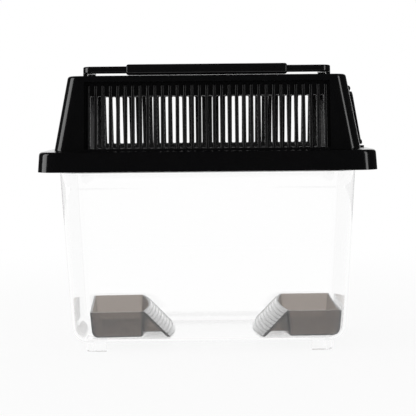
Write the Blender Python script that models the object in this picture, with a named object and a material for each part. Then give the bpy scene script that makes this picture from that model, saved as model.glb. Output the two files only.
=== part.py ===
"""Small cricket keeper.

A clear tank on four feet, a black hooded lid with two grilles, a flap hatch
and a folding carry handle, and two smoked feeding dishes with ramps.

Units are metres and +Z is up. The front faces -Y, +X is on the right of
someone who faces the front, and the feet stand on Z = 0. Each moving piece
has its origin on the axis that it moves about or along.
"""
from math import asin, cos, hypot, pi, radians, sin, sqrt, tan

import bmesh
import bpy

# Gap left between two pieces that touch, and how far a cutter runs past a face
SEAT_GAP = 0.0003
OVERRUN = 0.002

# Facets of a quarter turn on large corners, small corners, round pins and edges
CORNER_STEPS = 6
SMALL_STEPS = 3
ROUND_STEPS = 20
SHARP_ANGLE = radians(32)

# Tank, measured outside, with the feet under it
TANK_LENGTH = 0.1551
TANK_DEPTH = 0.0806
TANK_HEIGHT = 0.1065
TANK_WALL = 0.0016
TANK_DRAFT = radians(2.9)
TANK_CORNER = 0.012
TANK_BOTTOM_RADIUS = 0.0085
TANK_LEAST_CORNER = 0.002
RIM_HEIGHT = 0.0085
RIM_OVERHANG = 0.0076
RIM_CORNER = 0.009
FOOT_HEIGHT = 0.0052
FOOT_LENGTH = 0.0119
FOOT_WIDTH = 0.004
FOOT_CORNER = 0.0032
FOOT_INSET = 0.0074

# Lid: a skirt round the tank's rim, a ledge on the rim and a sloping hood
LID_WALL = 0.0018
LID_FIT = 0.0004
SKIRT_HEIGHT = 0.011
SKIRT_FLARE = 0.0008
SKIRT_FILLET = 0.002
LEDGE_WIDTH = 0.00775
HOOD_HEIGHT = 0.0414
HOOD_SLOPE = radians(10.2)
HOOD_CORNER = 0.008
HOOD_FILLET = 0.0022

# Grilles: upright ribs on a panel that sits behind a window of the hood
FRONT_RIB_PITCH = 0.00408
REAR_RIB_PITCH = 0.00409
RIB_WIDTH = 0.002
RIB_RELIEF = 0.0011
RIB_HEIGHT = 0.0362
FRONT_RIBS = 33
REAR_RIBS = 32
SLOT_RISE = 0.0005
SLOT_HEIGHT = 0.0293
SLOT_CORNER = 0.0006
WINDOW_SILL = 0.0012
WINDOW_MARGIN = 0.0012
WINDOW_CORNER = 0.0012
PANEL_THICKNESS = 0.0016
PANEL_LAP = 0.0015

# Hatch: a flap on the right wall of the hood, hung from two ears
HATCH_WIDTH = 0.042
HATCH_LENGTH = 0.0302
HATCH_THICKNESS = 0.002
HATCH_CORNER = 0.003
HATCH_AXIS_HEIGHT = 0.0339
HATCH_LIP_LENGTH = 0.0026
HATCH_LIP_DEPTH = 0.0009
HATCH_FRAME_HEIGHT = 0.0011
HATCH_FRAME_WIDTH = 0.0023
HATCH_OVERLAP = 0.0022
PORT_TOP_DROP = 0.0052
PORT_CORNER = 0.0015
KNUCKLE_WIDTH = 0.024
KNUCKLE_RADIUS = 0.0014
HINGE_EAR_RADIUS = 0.0017
HINGE_EAR_WIDTH = 0.0032
HINGE_PIN_RADIUS = 0.0008
PIN_CLEARANCE = 0.0003
STOP_WIDTH = 0.014
STOP_HEIGHT = 0.0009
STOP_DEPTH = 0.0023
STOP_INSET = 0.0014

# Handle: a bail folded forward on the roof, with a thicker grip
HANDLE_LENGTH = 0.1381
HANDLE_REACH = 0.0315
HANDLE_CORNER = 0.006
BAR_HEIGHT = 0.0039
BAR_DEPTH = 0.005
BAR_EDGE = 0.0009
ARM_WIDTH = 0.0044
GRIP_LENGTH = 0.0892
GRIP_HEIGHT = 0.006
GRIP_DEPTH = 0.0085
GRIP_EDGE = 0.0016
HANDLE_EAR_WIDTH = 0.0024
HANDLE_EAR_RADIUS = 0.0028
HANDLE_EAR_FLARE = 0.0008
HANDLE_PIN_RADIUS = 0.0012

# Dishes: a cup with one bowed end, and a treaded ramp down from that end
DISH_LENGTH = 0.0304
DISH_DEPTH = 0.064
DISH_HEIGHT = 0.0154
DISH_WALL = 0.0012
DISH_BOW = 0.0042
DISH_DRAFT = 0.0013
DISH_CORNER = 0.001
DISH_BOW_CORNER = 0.003
DISH_LEAST_CORNER = 0.0004
DISH_BOTTOM_RADIUS = 0.0015
DISH_END_RADIUS = 0.0042
RAMP_RUN = 0.0149
RAMP_THICKNESS = 0.0014
RAMP_INSET = 0.0012
RAMP_TOE = 0.0006
WEB_INSET = 0.0009
WEB_THICKNESS = 0.0012
WEB_CLEARANCE = 0.0035
TREAD_COUNT = 8
TREAD_HEIGHT = 0.0004
TREAD_WIDTH_SHARE = 0.4
BOW_STEPS = 8

# How far each dish stands from its end of the tank's floor, and how far it is turned
LEFT_DISH_GAP = 0.00685
LEFT_DISH_TURN = radians(3.3)
RIGHT_DISH_GAP = 0.00115
RIGHT_DISH_TURN = radians(180.7)

# Sizes worked out from the ones above
SHELF_HEIGHT = TANK_HEIGHT - RIM_HEIGHT
RIM_HALF_X = TANK_LENGTH / 2 + SHELF_HEIGHT * tan(TANK_DRAFT) + RIM_OVERHANG
RIM_HALF_Y = TANK_DEPTH / 2 + SHELF_HEIGHT * tan(TANK_DRAFT) + RIM_OVERHANG
FLOOR_Z = FOOT_HEIGHT + TANK_WALL
LID_Z = FOOT_HEIGHT + TANK_HEIGHT + SEAT_GAP
SKIRT_HALF_X = RIM_HALF_X + LID_FIT + LID_WALL
SKIRT_HALF_Y = RIM_HALF_Y + LID_FIT + LID_WALL
SKIRT_CORNER = RIM_CORNER + LID_FIT + LID_WALL
HOOD_HALF_X = SKIRT_HALF_X - LEDGE_WIDTH
HOOD_HALF_Y = SKIRT_HALF_Y - LEDGE_WIDTH
LID_TOP = LID_WALL + HOOD_HEIGHT
WINDOW_HALF = (FRONT_RIBS - 1) * FRONT_RIB_PITCH / 2 + RIB_WIDTH / 2 + WINDOW_MARGIN
WINDOW_TOP = WINDOW_SILL + RIB_HEIGHT + WINDOW_MARGIN
PANEL_FACE = LID_WALL + SEAT_GAP
HINGE_STANDOFF = HINGE_EAR_RADIUS
HATCH_FACE = HATCH_FRAME_HEIGHT + SEAT_GAP
PORT_HALF = HATCH_WIDTH / 2 - HATCH_OVERLAP - HATCH_FRAME_WIDTH / 2
PIVOT_Z = LID_TOP + SEAT_GAP + GRIP_HEIGHT / 2
ARM_INNER = HANDLE_LENGTH / 2 - ARM_WIDTH
RAMP_FALL = DISH_HEIGHT / RAMP_RUN
DISH_REACH = TANK_LENGTH / 2 - TANK_WALL - DISH_LENGTH / 2


# Shapes

def new_object(name, mesh_data, material, parent=None, location=(0, 0, 0), turn=(0, 0, 0)):
    """Put a bmesh in the scene as a smooth-shaded object, and empty the bmesh."""
    mesh = bpy.data.meshes.new(name)
    bmesh.ops.recalc_face_normals(mesh_data, faces=mesh_data.faces)
    mesh_data.to_mesh(mesh)
    mesh_data.free()
    mesh.shade_smooth()
    mesh.set_sharp_from_angle(angle=SHARP_ANGLE)
    item = bpy.data.objects.new(name, mesh)
    if material:
        mesh.materials.append(material)
    bpy.context.collection.objects.link(item)
    item.parent = parent
    item.location = location
    item.rotation_euler = turn
    return item


def loft(name, rings, material=None, **place):
    """One closed solid through rings that have as many points each."""
    mesh_data = bmesh.new()
    loops = [[mesh_data.verts.new(point) for point in points] for points in rings]
    count = len(loops[0])
    for lower, upper in zip(loops, loops[1:]):
        for i in range(count):
            j = (i + 1) % count
            mesh_data.faces.new((lower[i], lower[j], upper[j], upper[i]))
    mesh_data.faces.new(list(reversed(loops[0])))
    mesh_data.faces.new(loops[-1])
    return new_object(name, mesh_data, material, **place)


def extrude_x(name, outline, low, high, material=None, **place):
    """An outline of (y, z) points drawn out along X."""
    return loft(name, [[(x, y, z) for y, z in outline] for x in (low, high)], material, **place)


def extrude_y(name, outline, low, high, material=None, **place):
    """An outline of (x, z) points drawn out along Y."""
    return loft(name, [[(x, y, z) for x, z in outline] for y in (low, high)], material, **place)


def extrude_z(name, outline, low, high, material=None, **place):
    """An outline of (x, y) points drawn out along Z."""
    return loft(name, [[(x, y, z) for x, y in outline] for z in (low, high)], material, **place)


def arc(centre, radius, start, end, steps):
    """Points round a centre from one angle to another."""
    angles = [start + (end - start) * step / steps for step in range(steps + 1)]
    return [(centre[0] + radius * cos(a), centre[1] + radius * sin(a)) for a in angles]


def rounded_box(low, high, radius, steps=SMALL_STEPS):
    """Outline of a rectangle with round corners, anticlockwise."""
    points = []
    for quarter, (a, b) in enumerate(((high[0], high[1]), (low[0], high[1]),
                                      (low[0], low[1]), (high[0], low[1]))):
        centre = (a - radius if a == high[0] else a + radius,
                  b - radius if b == high[1] else b + radius)
        points += arc(centre, radius, quarter * pi / 2, (quarter + 1) * pi / 2, steps)
    return points


def ring(half_x, half_y, radius, z):
    """A rounded rectangle round the Z axis at one height."""
    outline = rounded_box((-half_x, -half_y), (half_x, half_y), radius, CORNER_STEPS)
    return [(x, y, z) for x, y in outline]


def circle(centre, radius, steps=ROUND_STEPS):
    """A full circle of points."""
    return arc(centre, radius, 0, 2 * pi, steps)[:-1]


def bevel(item, width, segments=2):
    """Round an object's sharp edges."""
    modifier = item.modifiers.new("Rounded edges", "BEVEL")
    modifier.width = width
    modifier.segments = segments
    modifier.limit_method = "ANGLE"
    modifier.angle_limit = SHARP_ANGLE


def combine(target, tool, operation):
    """Boolean a tool object into a target and keep the tool as a hidden guide."""
    modifier = target.modifiers.new(tool.name, "BOOLEAN")
    modifier.operation = operation
    modifier.solver = "EXACT"
    modifier.object = tool
    tool.hide_render = True
    tool.display_type = "WIRE"


def cut(target, tool):
    combine(target, tool, "DIFFERENCE")


def fuse(target, tool):
    combine(target, tool, "UNION")


def empty(name, parent, location, turn=(0, 0, 0)):
    """A frame for pieces to be placed in."""
    item = bpy.data.objects.new(name, None)
    bpy.context.collection.objects.link(item)
    item.parent = parent
    item.location = location
    item.rotation_euler = turn
    return item


def plastic(name, color, roughness, clear=0.0):
    """Moulded plastic, opaque or see-through."""
    material = bpy.data.materials.new(name)
    material.use_nodes = True
    shader = material.node_tree.nodes["Principled BSDF"]
    shader.inputs["Base Color"].default_value = (*color, 1)
    shader.inputs["Roughness"].default_value = roughness
    shader.inputs["Metallic"].default_value = 0
    shader.inputs["Transmission Weight"].default_value = clear
    return material


# Tank

def tank_half(height):
    """Half length and half depth of the tank's outer wall at a height above its bottom."""
    growth = height * tan(TANK_DRAFT)
    return TANK_LENGTH / 2 + growth, TANK_DEPTH / 2 + growth


def tank_ring(height, inset):
    """A ring of the tank's wall, moved inwards."""
    half_x, half_y = tank_half(height)
    corner = max(TANK_CORNER - inset, TANK_LEAST_CORNER)
    return ring(half_x - inset, half_y - inset, corner, FOOT_HEIGHT + height)


def bottom_rings(radius, low, inset):
    """Rings round the edge of a tank bottom, from the flat bottom up to the wall."""
    rings = []
    for step in range(CORNER_STEPS + 1):
        angle = step / CORNER_STEPS * pi / 2
        rings.append(tank_ring(low + radius * (1 - cos(angle)), inset + radius * (1 - sin(angle))))
    return rings


def rim_ring(inset, height):
    return ring(RIM_HALF_X - inset, RIM_HALF_Y - inset, RIM_CORNER - inset, FOOT_HEIGHT + height)


def foot_outline(side_x, side_y):
    """An L that follows one corner of the tank, with its outer corner round."""
    x = TANK_LENGTH / 2 - FOOT_INSET
    y = TANK_DEPTH / 2 - FOOT_INSET
    outline = [(x - FOOT_LENGTH, y - FOOT_WIDTH), (x - FOOT_WIDTH, y - FOOT_WIDTH),
               (x - FOOT_WIDTH, y - FOOT_LENGTH), (x, y - FOOT_LENGTH)]
    outline += arc((x - FOOT_CORNER, y - FOOT_CORNER), FOOT_CORNER, 0, pi / 2, SMALL_STEPS)
    outline += [(x - FOOT_LENGTH, y)]
    return [(side_x * a, side_y * b) for a, b in outline]


def make_tank(clear):
    """The clear box with its outward rim."""
    outside = bottom_rings(TANK_BOTTOM_RADIUS, 0, 0) + [tank_ring(SHELF_HEIGHT, 0)]
    rim = [rim_ring(0, SHELF_HEIGHT), rim_ring(0, TANK_HEIGHT),
           rim_ring(TANK_WALL, TANK_HEIGHT), rim_ring(TANK_WALL, SHELF_HEIGHT + TANK_WALL)]
    inside = [tank_ring(SHELF_HEIGHT + TANK_WALL, TANK_WALL)]
    inside += reversed(bottom_rings(TANK_BOTTOM_RADIUS - TANK_WALL, TANK_WALL, TANK_WALL))
    loft("tank", outside + rim + inside, clear)


def make_feet(clear):
    """The four feet of the moulding, each a node so that collision stays open between them."""
    for row, side_y in (("front", -1), ("rear", 1)):
        for end, side_x in (("left", -1), ("right", 1)):
            extrude_z(f"foot_{row}_{end}", foot_outline(side_x, side_y), 0, FOOT_HEIGHT - SEAT_GAP, clear)


# Lid

def hood_half(height):
    """Half length and half depth of the hood at a height above the ledge's underside."""
    shrink = (height - LID_WALL) * tan(HOOD_SLOPE)
    return HOOD_HALF_X - shrink, HOOD_HALF_Y - shrink


def hood_ring(height, inset):
    half_x, half_y = hood_half(height)
    return ring(half_x - inset, half_y - inset, HOOD_CORNER - inset, height)


def skirt_ring(height, inset):
    """A ring of the skirt, which flares towards its lower edge."""
    flare = SKIRT_FLARE * (LID_WALL - height) / SKIRT_HEIGHT - inset
    return ring(SKIRT_HALF_X + flare, SKIRT_HALF_Y + flare, SKIRT_CORNER - inset, height)


def make_lid(black):
    """Skirt, ledge, hood and roof as one thin shell, open below."""
    steps = [step / SMALL_STEPS * pi / 2 for step in range(SMALL_STEPS + 1)]
    outside = [hood_ring(LID_TOP - HOOD_FILLET * (1 - sin(angle)), HOOD_FILLET * (1 - cos(angle)))
               for angle in reversed(steps)]
    outside += [hood_ring(LID_WALL, 0)]
    outside += [skirt_ring(LID_WALL - SKIRT_FILLET * (1 - sin(angle)), SKIRT_FILLET * (1 - cos(angle)))
                for angle in reversed(steps)]
    skirt_foot = LID_WALL - SKIRT_HEIGHT
    outside += [skirt_ring(skirt_foot, 0)]
    wall_inset = LID_WALL / cos(HOOD_SLOPE)
    inside = [skirt_ring(skirt_foot, LID_WALL), skirt_ring(0, LID_WALL),
              hood_ring(0, wall_inset), hood_ring(LID_TOP - LID_WALL, wall_inset)]
    return loft("lid_shell", outside + inside, black, location=(0, 0, LID_Z))


def wall_frame(name, lid, half_x, half_y, turn):
    """A frame on one wall of the hood: X along the wall, -Y out of it and Z up its slope."""
    return empty(name, lid, (half_x, half_y, LID_WALL), (-HOOD_SLOPE, 0, turn))


# Grilles

def rib(x):
    """One half-round rib, with a sloping top end, from inside the panel to its crest."""
    half = RIB_WIDTH / 2
    back = PANEL_FACE + PANEL_THICKNESS / 2
    crest = RIB_RELIEF - half
    rings = []
    for z, relief_share in ((WINDOW_SILL, 1), (WINDOW_SILL + RIB_HEIGHT - RIB_RELIEF, 1),
                            (WINDOW_SILL + RIB_HEIGHT, 0)):
        points = [(x + half, back, z)]
        for px, py in arc((0, 0), half, 0, pi, SMALL_STEPS + 1):
            points.append((x + px, PANEL_FACE - relief_share * (crest + py), z))
        points.append((x - half, back, z))
        rings.append(points)
    return rings


def make_grille(name, count, pitch, frame, black):
    """A flat panel with open slots between half-round ribs."""
    lap = WINDOW_HALF + PANEL_LAP
    outline = rounded_box((-lap, WINDOW_SILL - PANEL_LAP), (lap, WINDOW_TOP + PANEL_LAP), WINDOW_CORNER)
    panel = extrude_y(name, outline, PANEL_FACE, PANEL_FACE + PANEL_THICKNESS, black, parent=frame)
    places = [(i - (count - 1) / 2) * pitch for i in range(count)]
    slot_foot = WINDOW_SILL + SLOT_RISE
    slots = []
    for x in places[:-1]:
        slot = rounded_box((x + RIB_WIDTH / 2, slot_foot),
                           (x + pitch - RIB_WIDTH / 2, slot_foot + SLOT_HEIGHT), SLOT_CORNER, 1)
        slots.append(extrude_y("slot", slot, PANEL_FACE - OVERRUN,
                               PANEL_FACE + PANEL_THICKNESS + OVERRUN, parent=frame))
    ribs = [loft("rib", rib(x), parent=frame) for x in places]
    cut(panel, joined(f"{name}_slots", slots))
    fuse(panel, joined(f"{name}_ribs", ribs))


def joined(name, items):
    """Several separate shapes as the bodies of one guide object."""
    first = items[0]
    mesh_data = bmesh.new()
    for item in items:
        mesh_data.from_mesh(item.data)
    mesh_data.to_mesh(first.data)
    mesh_data.free()
    for item in items[1:]:
        bpy.data.objects.remove(item)
    first.name = name
    return first


# Hatch

def cut_port(frame, lid):
    """The port through the wall, with a raised frame round it, and the stop below it."""
    port_low = HATCH_AXIS_HEIGHT - HATCH_LENGTH + HATCH_OVERLAP + HATCH_FRAME_WIDTH / 2
    port_top = HATCH_AXIS_HEIGHT - PORT_TOP_DROP
    port = rounded_box((-PORT_HALF, port_low), (PORT_HALF, port_top), PORT_CORNER)
    surround = rounded_box((-PORT_HALF - HATCH_FRAME_WIDTH, port_low - HATCH_FRAME_WIDTH),
                           (PORT_HALF + HATCH_FRAME_WIDTH, port_top + HATCH_FRAME_WIDTH), HATCH_CORNER)
    fuse(lid, extrude_y("port_frame", surround, -HATCH_FRAME_HEIGHT, LID_WALL / 2, parent=frame))
    cut(lid, extrude_y("port", port, -HATCH_FRAME_HEIGHT - OVERRUN, LID_WALL + OVERRUN, parent=frame))
    stop_x = SKIRT_HALF_X - STOP_INSET
    stop = rounded_box((stop_x - STOP_DEPTH, LID_WALL / 2), (stop_x, LID_WALL + STOP_HEIGHT),
                       LID_WALL / 4, 1)
    fuse(lid, extrude_y("hatch_stop", stop, -STOP_WIDTH / 2, STOP_WIDTH / 2, parent=lid))


def make_hatch(frame, lid, black):
    """The flap with its knuckle and pins, and the two ears on the lid that hold them."""
    hinge = {"parent": frame, "location": (0, -HINGE_STANDOFF, HATCH_AXIS_HEIGHT)}
    ear_inner = KNUCKLE_WIDTH / 2 + SEAT_GAP
    ear_outer = ear_inner + HINGE_EAR_WIDTH
    ear_root = HINGE_STANDOFF + LID_WALL / 2
    ear = arc((0, 0), HINGE_EAR_RADIUS, -pi / 2, -pi * 3 / 2, CORNER_STEPS)
    ear += [(ear_root, HINGE_EAR_RADIUS), (ear_root, -HINGE_EAR_RADIUS)]
    hole = circle((0, 0), HINGE_PIN_RADIUS + PIN_CLEARANCE, 2 * CORNER_STEPS)
    for side in (-1, 1):
        fuse(lid, extrude_x("hinge_ear", ear, side * ear_inner, side * ear_outer, **hinge))
        cut(lid, extrude_x("hinge_hole", hole, side * (ear_inner - OVERRUN),
                           side * (ear_outer + OVERRUN), **hinge))

    inner = HINGE_STANDOFF - HATCH_FACE
    outer = inner - HATCH_THICKNESS
    shoulder = HINGE_EAR_RADIUS + PIN_CLEARANCE
    plate = rounded_box((-HATCH_WIDTH / 2, -HATCH_LENGTH), (HATCH_WIDTH / 2, -shoulder), HATCH_CORNER)
    hatch = extrude_y("hatch", plate, outer, inner, black, **hinge)
    bevel(hatch, HATCH_THICKNESS / 4, 1)
    lip = rounded_box((outer - HATCH_LIP_DEPTH, -HATCH_LENGTH),
                      (inner - HATCH_THICKNESS / 2, -HATCH_LENGTH + HATCH_LIP_LENGTH), HATCH_LIP_DEPTH)
    lip_half = HATCH_WIDTH / 2 - HATCH_CORNER
    fuse(hatch, extrude_x("lip", lip, -lip_half, lip_half, **hinge))

    knuckle_foot = -shoulder - HATCH_THICKNESS
    knuckle = [(outer + HATCH_THICKNESS / 4, knuckle_foot), (inner - HATCH_THICKNESS / 4, knuckle_foot)]
    knuckle += arc((0, 0), KNUCKLE_RADIUS, -pi / 4, pi, CORNER_STEPS)
    fuse(hatch, extrude_x("knuckle", knuckle, -KNUCKLE_WIDTH / 2, KNUCKLE_WIDTH / 2, **hinge))
    pin = circle((0, 0), HINGE_PIN_RADIUS, 2 * CORNER_STEPS)
    pin_end = ear_outer - SEAT_GAP
    fuse(hatch, extrude_x("hatch_pin", pin, -pin_end, pin_end, **hinge))


# Handle

def bail_outline():
    """Plan of the bail: a U with round outer and inner corners, open to the back."""
    half = HANDLE_LENGTH / 2
    front = -HANDLE_REACH - BAR_DEPTH / 2
    back = -HANDLE_REACH + BAR_DEPTH / 2
    inner_corner = HANDLE_CORNER - ARM_WIDTH
    outline = [(half, 0), (ARM_INNER, 0)]
    outline += arc((ARM_INNER - inner_corner, back + inner_corner), inner_corner, 0, -pi / 2, SMALL_STEPS)
    outline += arc((inner_corner - ARM_INNER, back + inner_corner), inner_corner, -pi / 2, -pi, SMALL_STEPS)
    outline += [(-ARM_INNER, 0), (-half, 0)]
    outline += arc((HANDLE_CORNER - half, front + HANDLE_CORNER), HANDLE_CORNER, -pi, -pi / 2, CORNER_STEPS)
    outline += arc((half - HANDLE_CORNER, front + HANDLE_CORNER), HANDLE_CORNER, -pi / 2, 0, CORNER_STEPS)
    return outline


def make_handle(lid, black):
    """The bail with its grip and moulded pins, and the two ears on the roof."""
    pivot = {"parent": lid, "location": (0, 0, PIVOT_Z)}
    handle = extrude_z("handle", bail_outline(), -BAR_HEIGHT / 2, BAR_HEIGHT / 2, black, **pivot)
    bevel(handle, BAR_EDGE)
    grip_outline = rounded_box((-HANDLE_REACH - GRIP_DEPTH / 2, -GRIP_HEIGHT / 2),
                               (-HANDLE_REACH + GRIP_DEPTH / 2, GRIP_HEIGHT / 2), GRIP_EDGE)
    grip = extrude_x("grip", grip_outline, -GRIP_LENGTH / 2, GRIP_LENGTH / 2, **pivot)
    bevel(grip, BAR_EDGE / 2, 1)
    fuse(handle, grip)

    eye = circle((0, 0), GRIP_HEIGHT / 2)
    pin = circle((0, 0), HANDLE_PIN_RADIUS, 2 * CORNER_STEPS)
    hole = circle((0, 0), HANDLE_PIN_RADIUS + PIN_CLEARANCE, 2 * CORNER_STEPS)
    ear_inner = HANDLE_LENGTH / 2 + SEAT_GAP
    ear_outer = ear_inner + HANDLE_EAR_WIDTH
    root = LID_TOP - LID_WALL / 2 - PIVOT_Z
    roof = LID_TOP - PIVOT_Z
    ear = arc((0, 0), HANDLE_EAR_RADIUS, 0, pi, 2 * CORNER_STEPS)
    ear += [(-HANDLE_EAR_RADIUS, root), (HANDLE_EAR_RADIUS, root)]
    flare = [(ear_outer - HANDLE_EAR_FLARE, root), (ear_outer + HANDLE_EAR_FLARE, root),
             (ear_outer + HANDLE_EAR_FLARE, roof), (ear_outer, roof + HANDLE_EAR_FLARE),
             (ear_outer - HANDLE_EAR_FLARE, roof + HANDLE_EAR_FLARE)]
    for side in (-1, 1):
        fuse(handle, extrude_x("handle_eye", eye, side * ARM_INNER, side * HANDLE_LENGTH / 2, **pivot))
        fuse(handle, extrude_x("handle_pin", pin, side * (ARM_INNER + ARM_WIDTH / 2),
                               side * (ear_outer - SEAT_GAP), **pivot))
        fuse(lid, extrude_x("handle_ear", ear, side * ear_outer, side * ear_inner, **pivot))
        fuse(lid, extrude_y("ear_flare", [(side * x, z) for x, z in flare],
                            -HANDLE_EAR_RADIUS / 2, HANDLE_EAR_RADIUS / 2, **pivot))
        cut(lid, extrude_x("handle_hole", hole, side * (ear_inner - SEAT_GAP / 2),
                           side * (ear_outer + HANDLE_EAR_FLARE + OVERRUN), **pivot))


# Dishes

def dish_draft(z):
    """How far the cup's outer wall leans in at a height."""
    return DISH_DRAFT * (1 - z / DISH_HEIGHT)


def dish_outline(inset, end_inset):
    """Plan of the cup: a square outer end at -X, with its own inset, and a bowed end at +X."""
    half = DISH_DEPTH / 2
    bow_radius = (half ** 2 + DISH_BOW ** 2) / (2 * DISH_BOW)
    bow_centre = DISH_LENGTH / 2 + DISH_BOW - bow_radius
    half -= inset
    bow_radius -= inset
    corner = max(DISH_BOW_CORNER - inset, DISH_LEAST_CORNER)
    corner_y = half - corner
    corner_x = bow_centre + sqrt((bow_radius - corner) ** 2 - corner_y ** 2)
    turn = asin(corner_y / (bow_radius - corner))
    end = max(DISH_CORNER - inset, DISH_LEAST_CORNER)
    end_x = end_inset - DISH_LENGTH / 2 + end
    outline = arc((bow_centre, 0), bow_radius, -turn, turn, BOW_STEPS)
    outline += arc((corner_x, corner_y), corner, turn, pi / 2, SMALL_STEPS)[1:]
    outline += arc((end_x, half - end), end, pi / 2, pi, SMALL_STEPS)
    outline += arc((end_x, end - half), end, pi, pi * 3 / 2, SMALL_STEPS)
    outline += arc((corner_x, -corner_y), corner, -pi / 2, -turn, SMALL_STEPS)[:-1]
    return outline


def fillet_inset(height, radius):
    """How far a round bottom edge draws in at a height above the bottom."""
    below = max(radius - height, 0)
    return radius - sqrt(radius ** 2 - below ** 2)


def dish_ring(z, wall, height):
    """The cup's outline at z, moved in by a wall, a height above the bottom that it is rounded to."""
    inset = wall + dish_draft(z)
    return [(x, y, z) for x, y in dish_outline(inset + fillet_inset(height, DISH_BOTTOM_RADIUS - wall),
                                               inset + fillet_inset(height, DISH_END_RADIUS - wall))]


def bow_x(y):
    """Where the bowed end of the rim lies, in X, at a place across the dish."""
    half = DISH_DEPTH / 2
    radius = (half ** 2 + DISH_BOW ** 2) / (2 * DISH_BOW)
    return DISH_LENGTH / 2 + DISH_BOW - radius + sqrt(radius ** 2 - y ** 2)


def swept(name, profile, low, high, steps, **place):
    """A profile of (distance from the rim's bowed end, z) points, carried across the dish."""
    stations = [low + (high - low) * step / steps for step in range(steps + 1)]
    return loft(name, [[(bow_x(y) + run, y, z) for run, z in profile] for y in stations], **place)


def ramp_profile():
    """The sloping plate with its cross treads, cut off level at the floor."""
    slope = hypot(RAMP_RUN, DISH_HEIGHT)
    drop = RAMP_THICKNESS * slope / RAMP_RUN
    toe_run = (DISH_HEIGHT - RAMP_TOE) / RAMP_FALL
    root = -DISH_WALL / 2
    pitch = toe_run / (TREAD_COUNT + 1)
    tread = pitch * TREAD_WIDTH_SHARE
    lift_run = TREAD_HEIGHT * DISH_HEIGHT / slope
    lift_z = TREAD_HEIGHT * RAMP_RUN / slope
    profile = [(root, DISH_HEIGHT), (0, DISH_HEIGHT)]
    for i in range(TREAD_COUNT):
        start = (i + 1) * pitch - tread / 2
        for run, lifted in ((start, 0), (start, 1), (start + tread, 1), (start + tread, 0)):
            profile.append((run + lifted * lift_run, DISH_HEIGHT - run * RAMP_FALL + lifted * lift_z))
    profile += [(toe_run, RAMP_TOE), (toe_run, 0), ((DISH_HEIGHT - drop) / RAMP_FALL, 0)]
    profile += [(root, DISH_HEIGHT - drop - root * RAMP_FALL)]
    return profile


def web_profile():
    """A triangle under the plate, from inside the cup's wall to inside the plate."""
    slope = hypot(RAMP_RUN, DISH_HEIGHT)
    middle = RAMP_THICKNESS * slope / RAMP_RUN / 2
    foot_root = -dish_draft(WEB_CLEARANCE) - DISH_WALL / 2
    top_root = -DISH_WALL / 2
    return [(foot_root, WEB_CLEARANCE), ((DISH_HEIGHT - middle - WEB_CLEARANCE) / RAMP_FALL, WEB_CLEARANCE),
            (top_root, DISH_HEIGHT - middle - top_root * RAMP_FALL - DISH_WALL)]


def make_dish(name, x, turn, smoked):
    """A thin cup, a ramp from its bowed end and a web under each edge of the ramp."""
    place = {"location": (x, 0, FLOOR_Z + SEAT_GAP), "turn": (0, 0, turn)}
    angles = [step / CORNER_STEPS * pi / 2 for step in range(CORNER_STEPS + 1)]
    outside = [DISH_END_RADIUS * (1 - cos(angle)) for angle in angles]
    inside = [(DISH_END_RADIUS - DISH_WALL) * (1 - cos(angle)) for angle in reversed(angles)]
    rings = [dish_ring(height, 0, height) for height in outside]
    rings += [dish_ring(DISH_HEIGHT, 0, DISH_HEIGHT), dish_ring(DISH_HEIGHT, DISH_WALL, DISH_HEIGHT)]
    rings += [dish_ring(DISH_WALL + height, DISH_WALL, height) for height in inside]
    dish = loft(name, rings, smoked, **place)
    edge = DISH_DEPTH / 2 - RAMP_INSET
    fuse(dish, swept("ramp", ramp_profile(), -edge, edge, BOW_STEPS, **place))
    web = edge - WEB_INSET
    for side in (-1, 1):
        fuse(dish, swept("web", web_profile(), side * web, side * (web - WEB_THICKNESS), 1, **place))


# The keeper

def main():
    for item in list(bpy.data.objects):
        bpy.data.objects.remove(item)
    black = plastic("Black plastic", (0.012, 0.012, 0.013), 0.3)
    handle_black = plastic("Handle plastic", (0.014, 0.014, 0.015), 0.35)
    hatch_black = plastic("Hatch plastic", (0.02, 0.02, 0.021), 0.35)
    smoked = plastic("Smoked plastic", (0.3, 0.26, 0.24), 0.15, 0.8)
    clear = plastic("Clear styrene", (0.95, 0.97, 0.97), 0.05, 1.0)
    make_tank(clear)
    make_feet(clear)
    lid = make_lid(black)
    front = wall_frame("front_wall", lid, 0, -HOOD_HALF_Y, 0)
    rear = wall_frame("rear_wall", lid, 0, HOOD_HALF_Y, pi)
    right = wall_frame("right_wall", lid, HOOD_HALF_X, 0, pi / 2)
    window = rounded_box((-WINDOW_HALF, WINDOW_SILL), (WINDOW_HALF, WINDOW_TOP), WINDOW_CORNER)
    for frame in (front, rear):
        cut(lid, extrude_y("window", window, -OVERRUN, LID_WALL + OVERRUN, parent=frame))
    make_grille("front_grille", FRONT_RIBS, FRONT_RIB_PITCH, front, black)
    make_grille("rear_grille", REAR_RIBS, REAR_RIB_PITCH, rear, black)
    cut_port(right, lid)
    make_hatch(right, lid, hatch_black)
    make_handle(lid, handle_black)
    make_dish("dish_left", LEFT_DISH_GAP - DISH_REACH, LEFT_DISH_TURN, smoked)
    make_dish("dish_right", DISH_REACH - RIGHT_DISH_GAP, RIGHT_DISH_TURN, smoked)


main()
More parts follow.
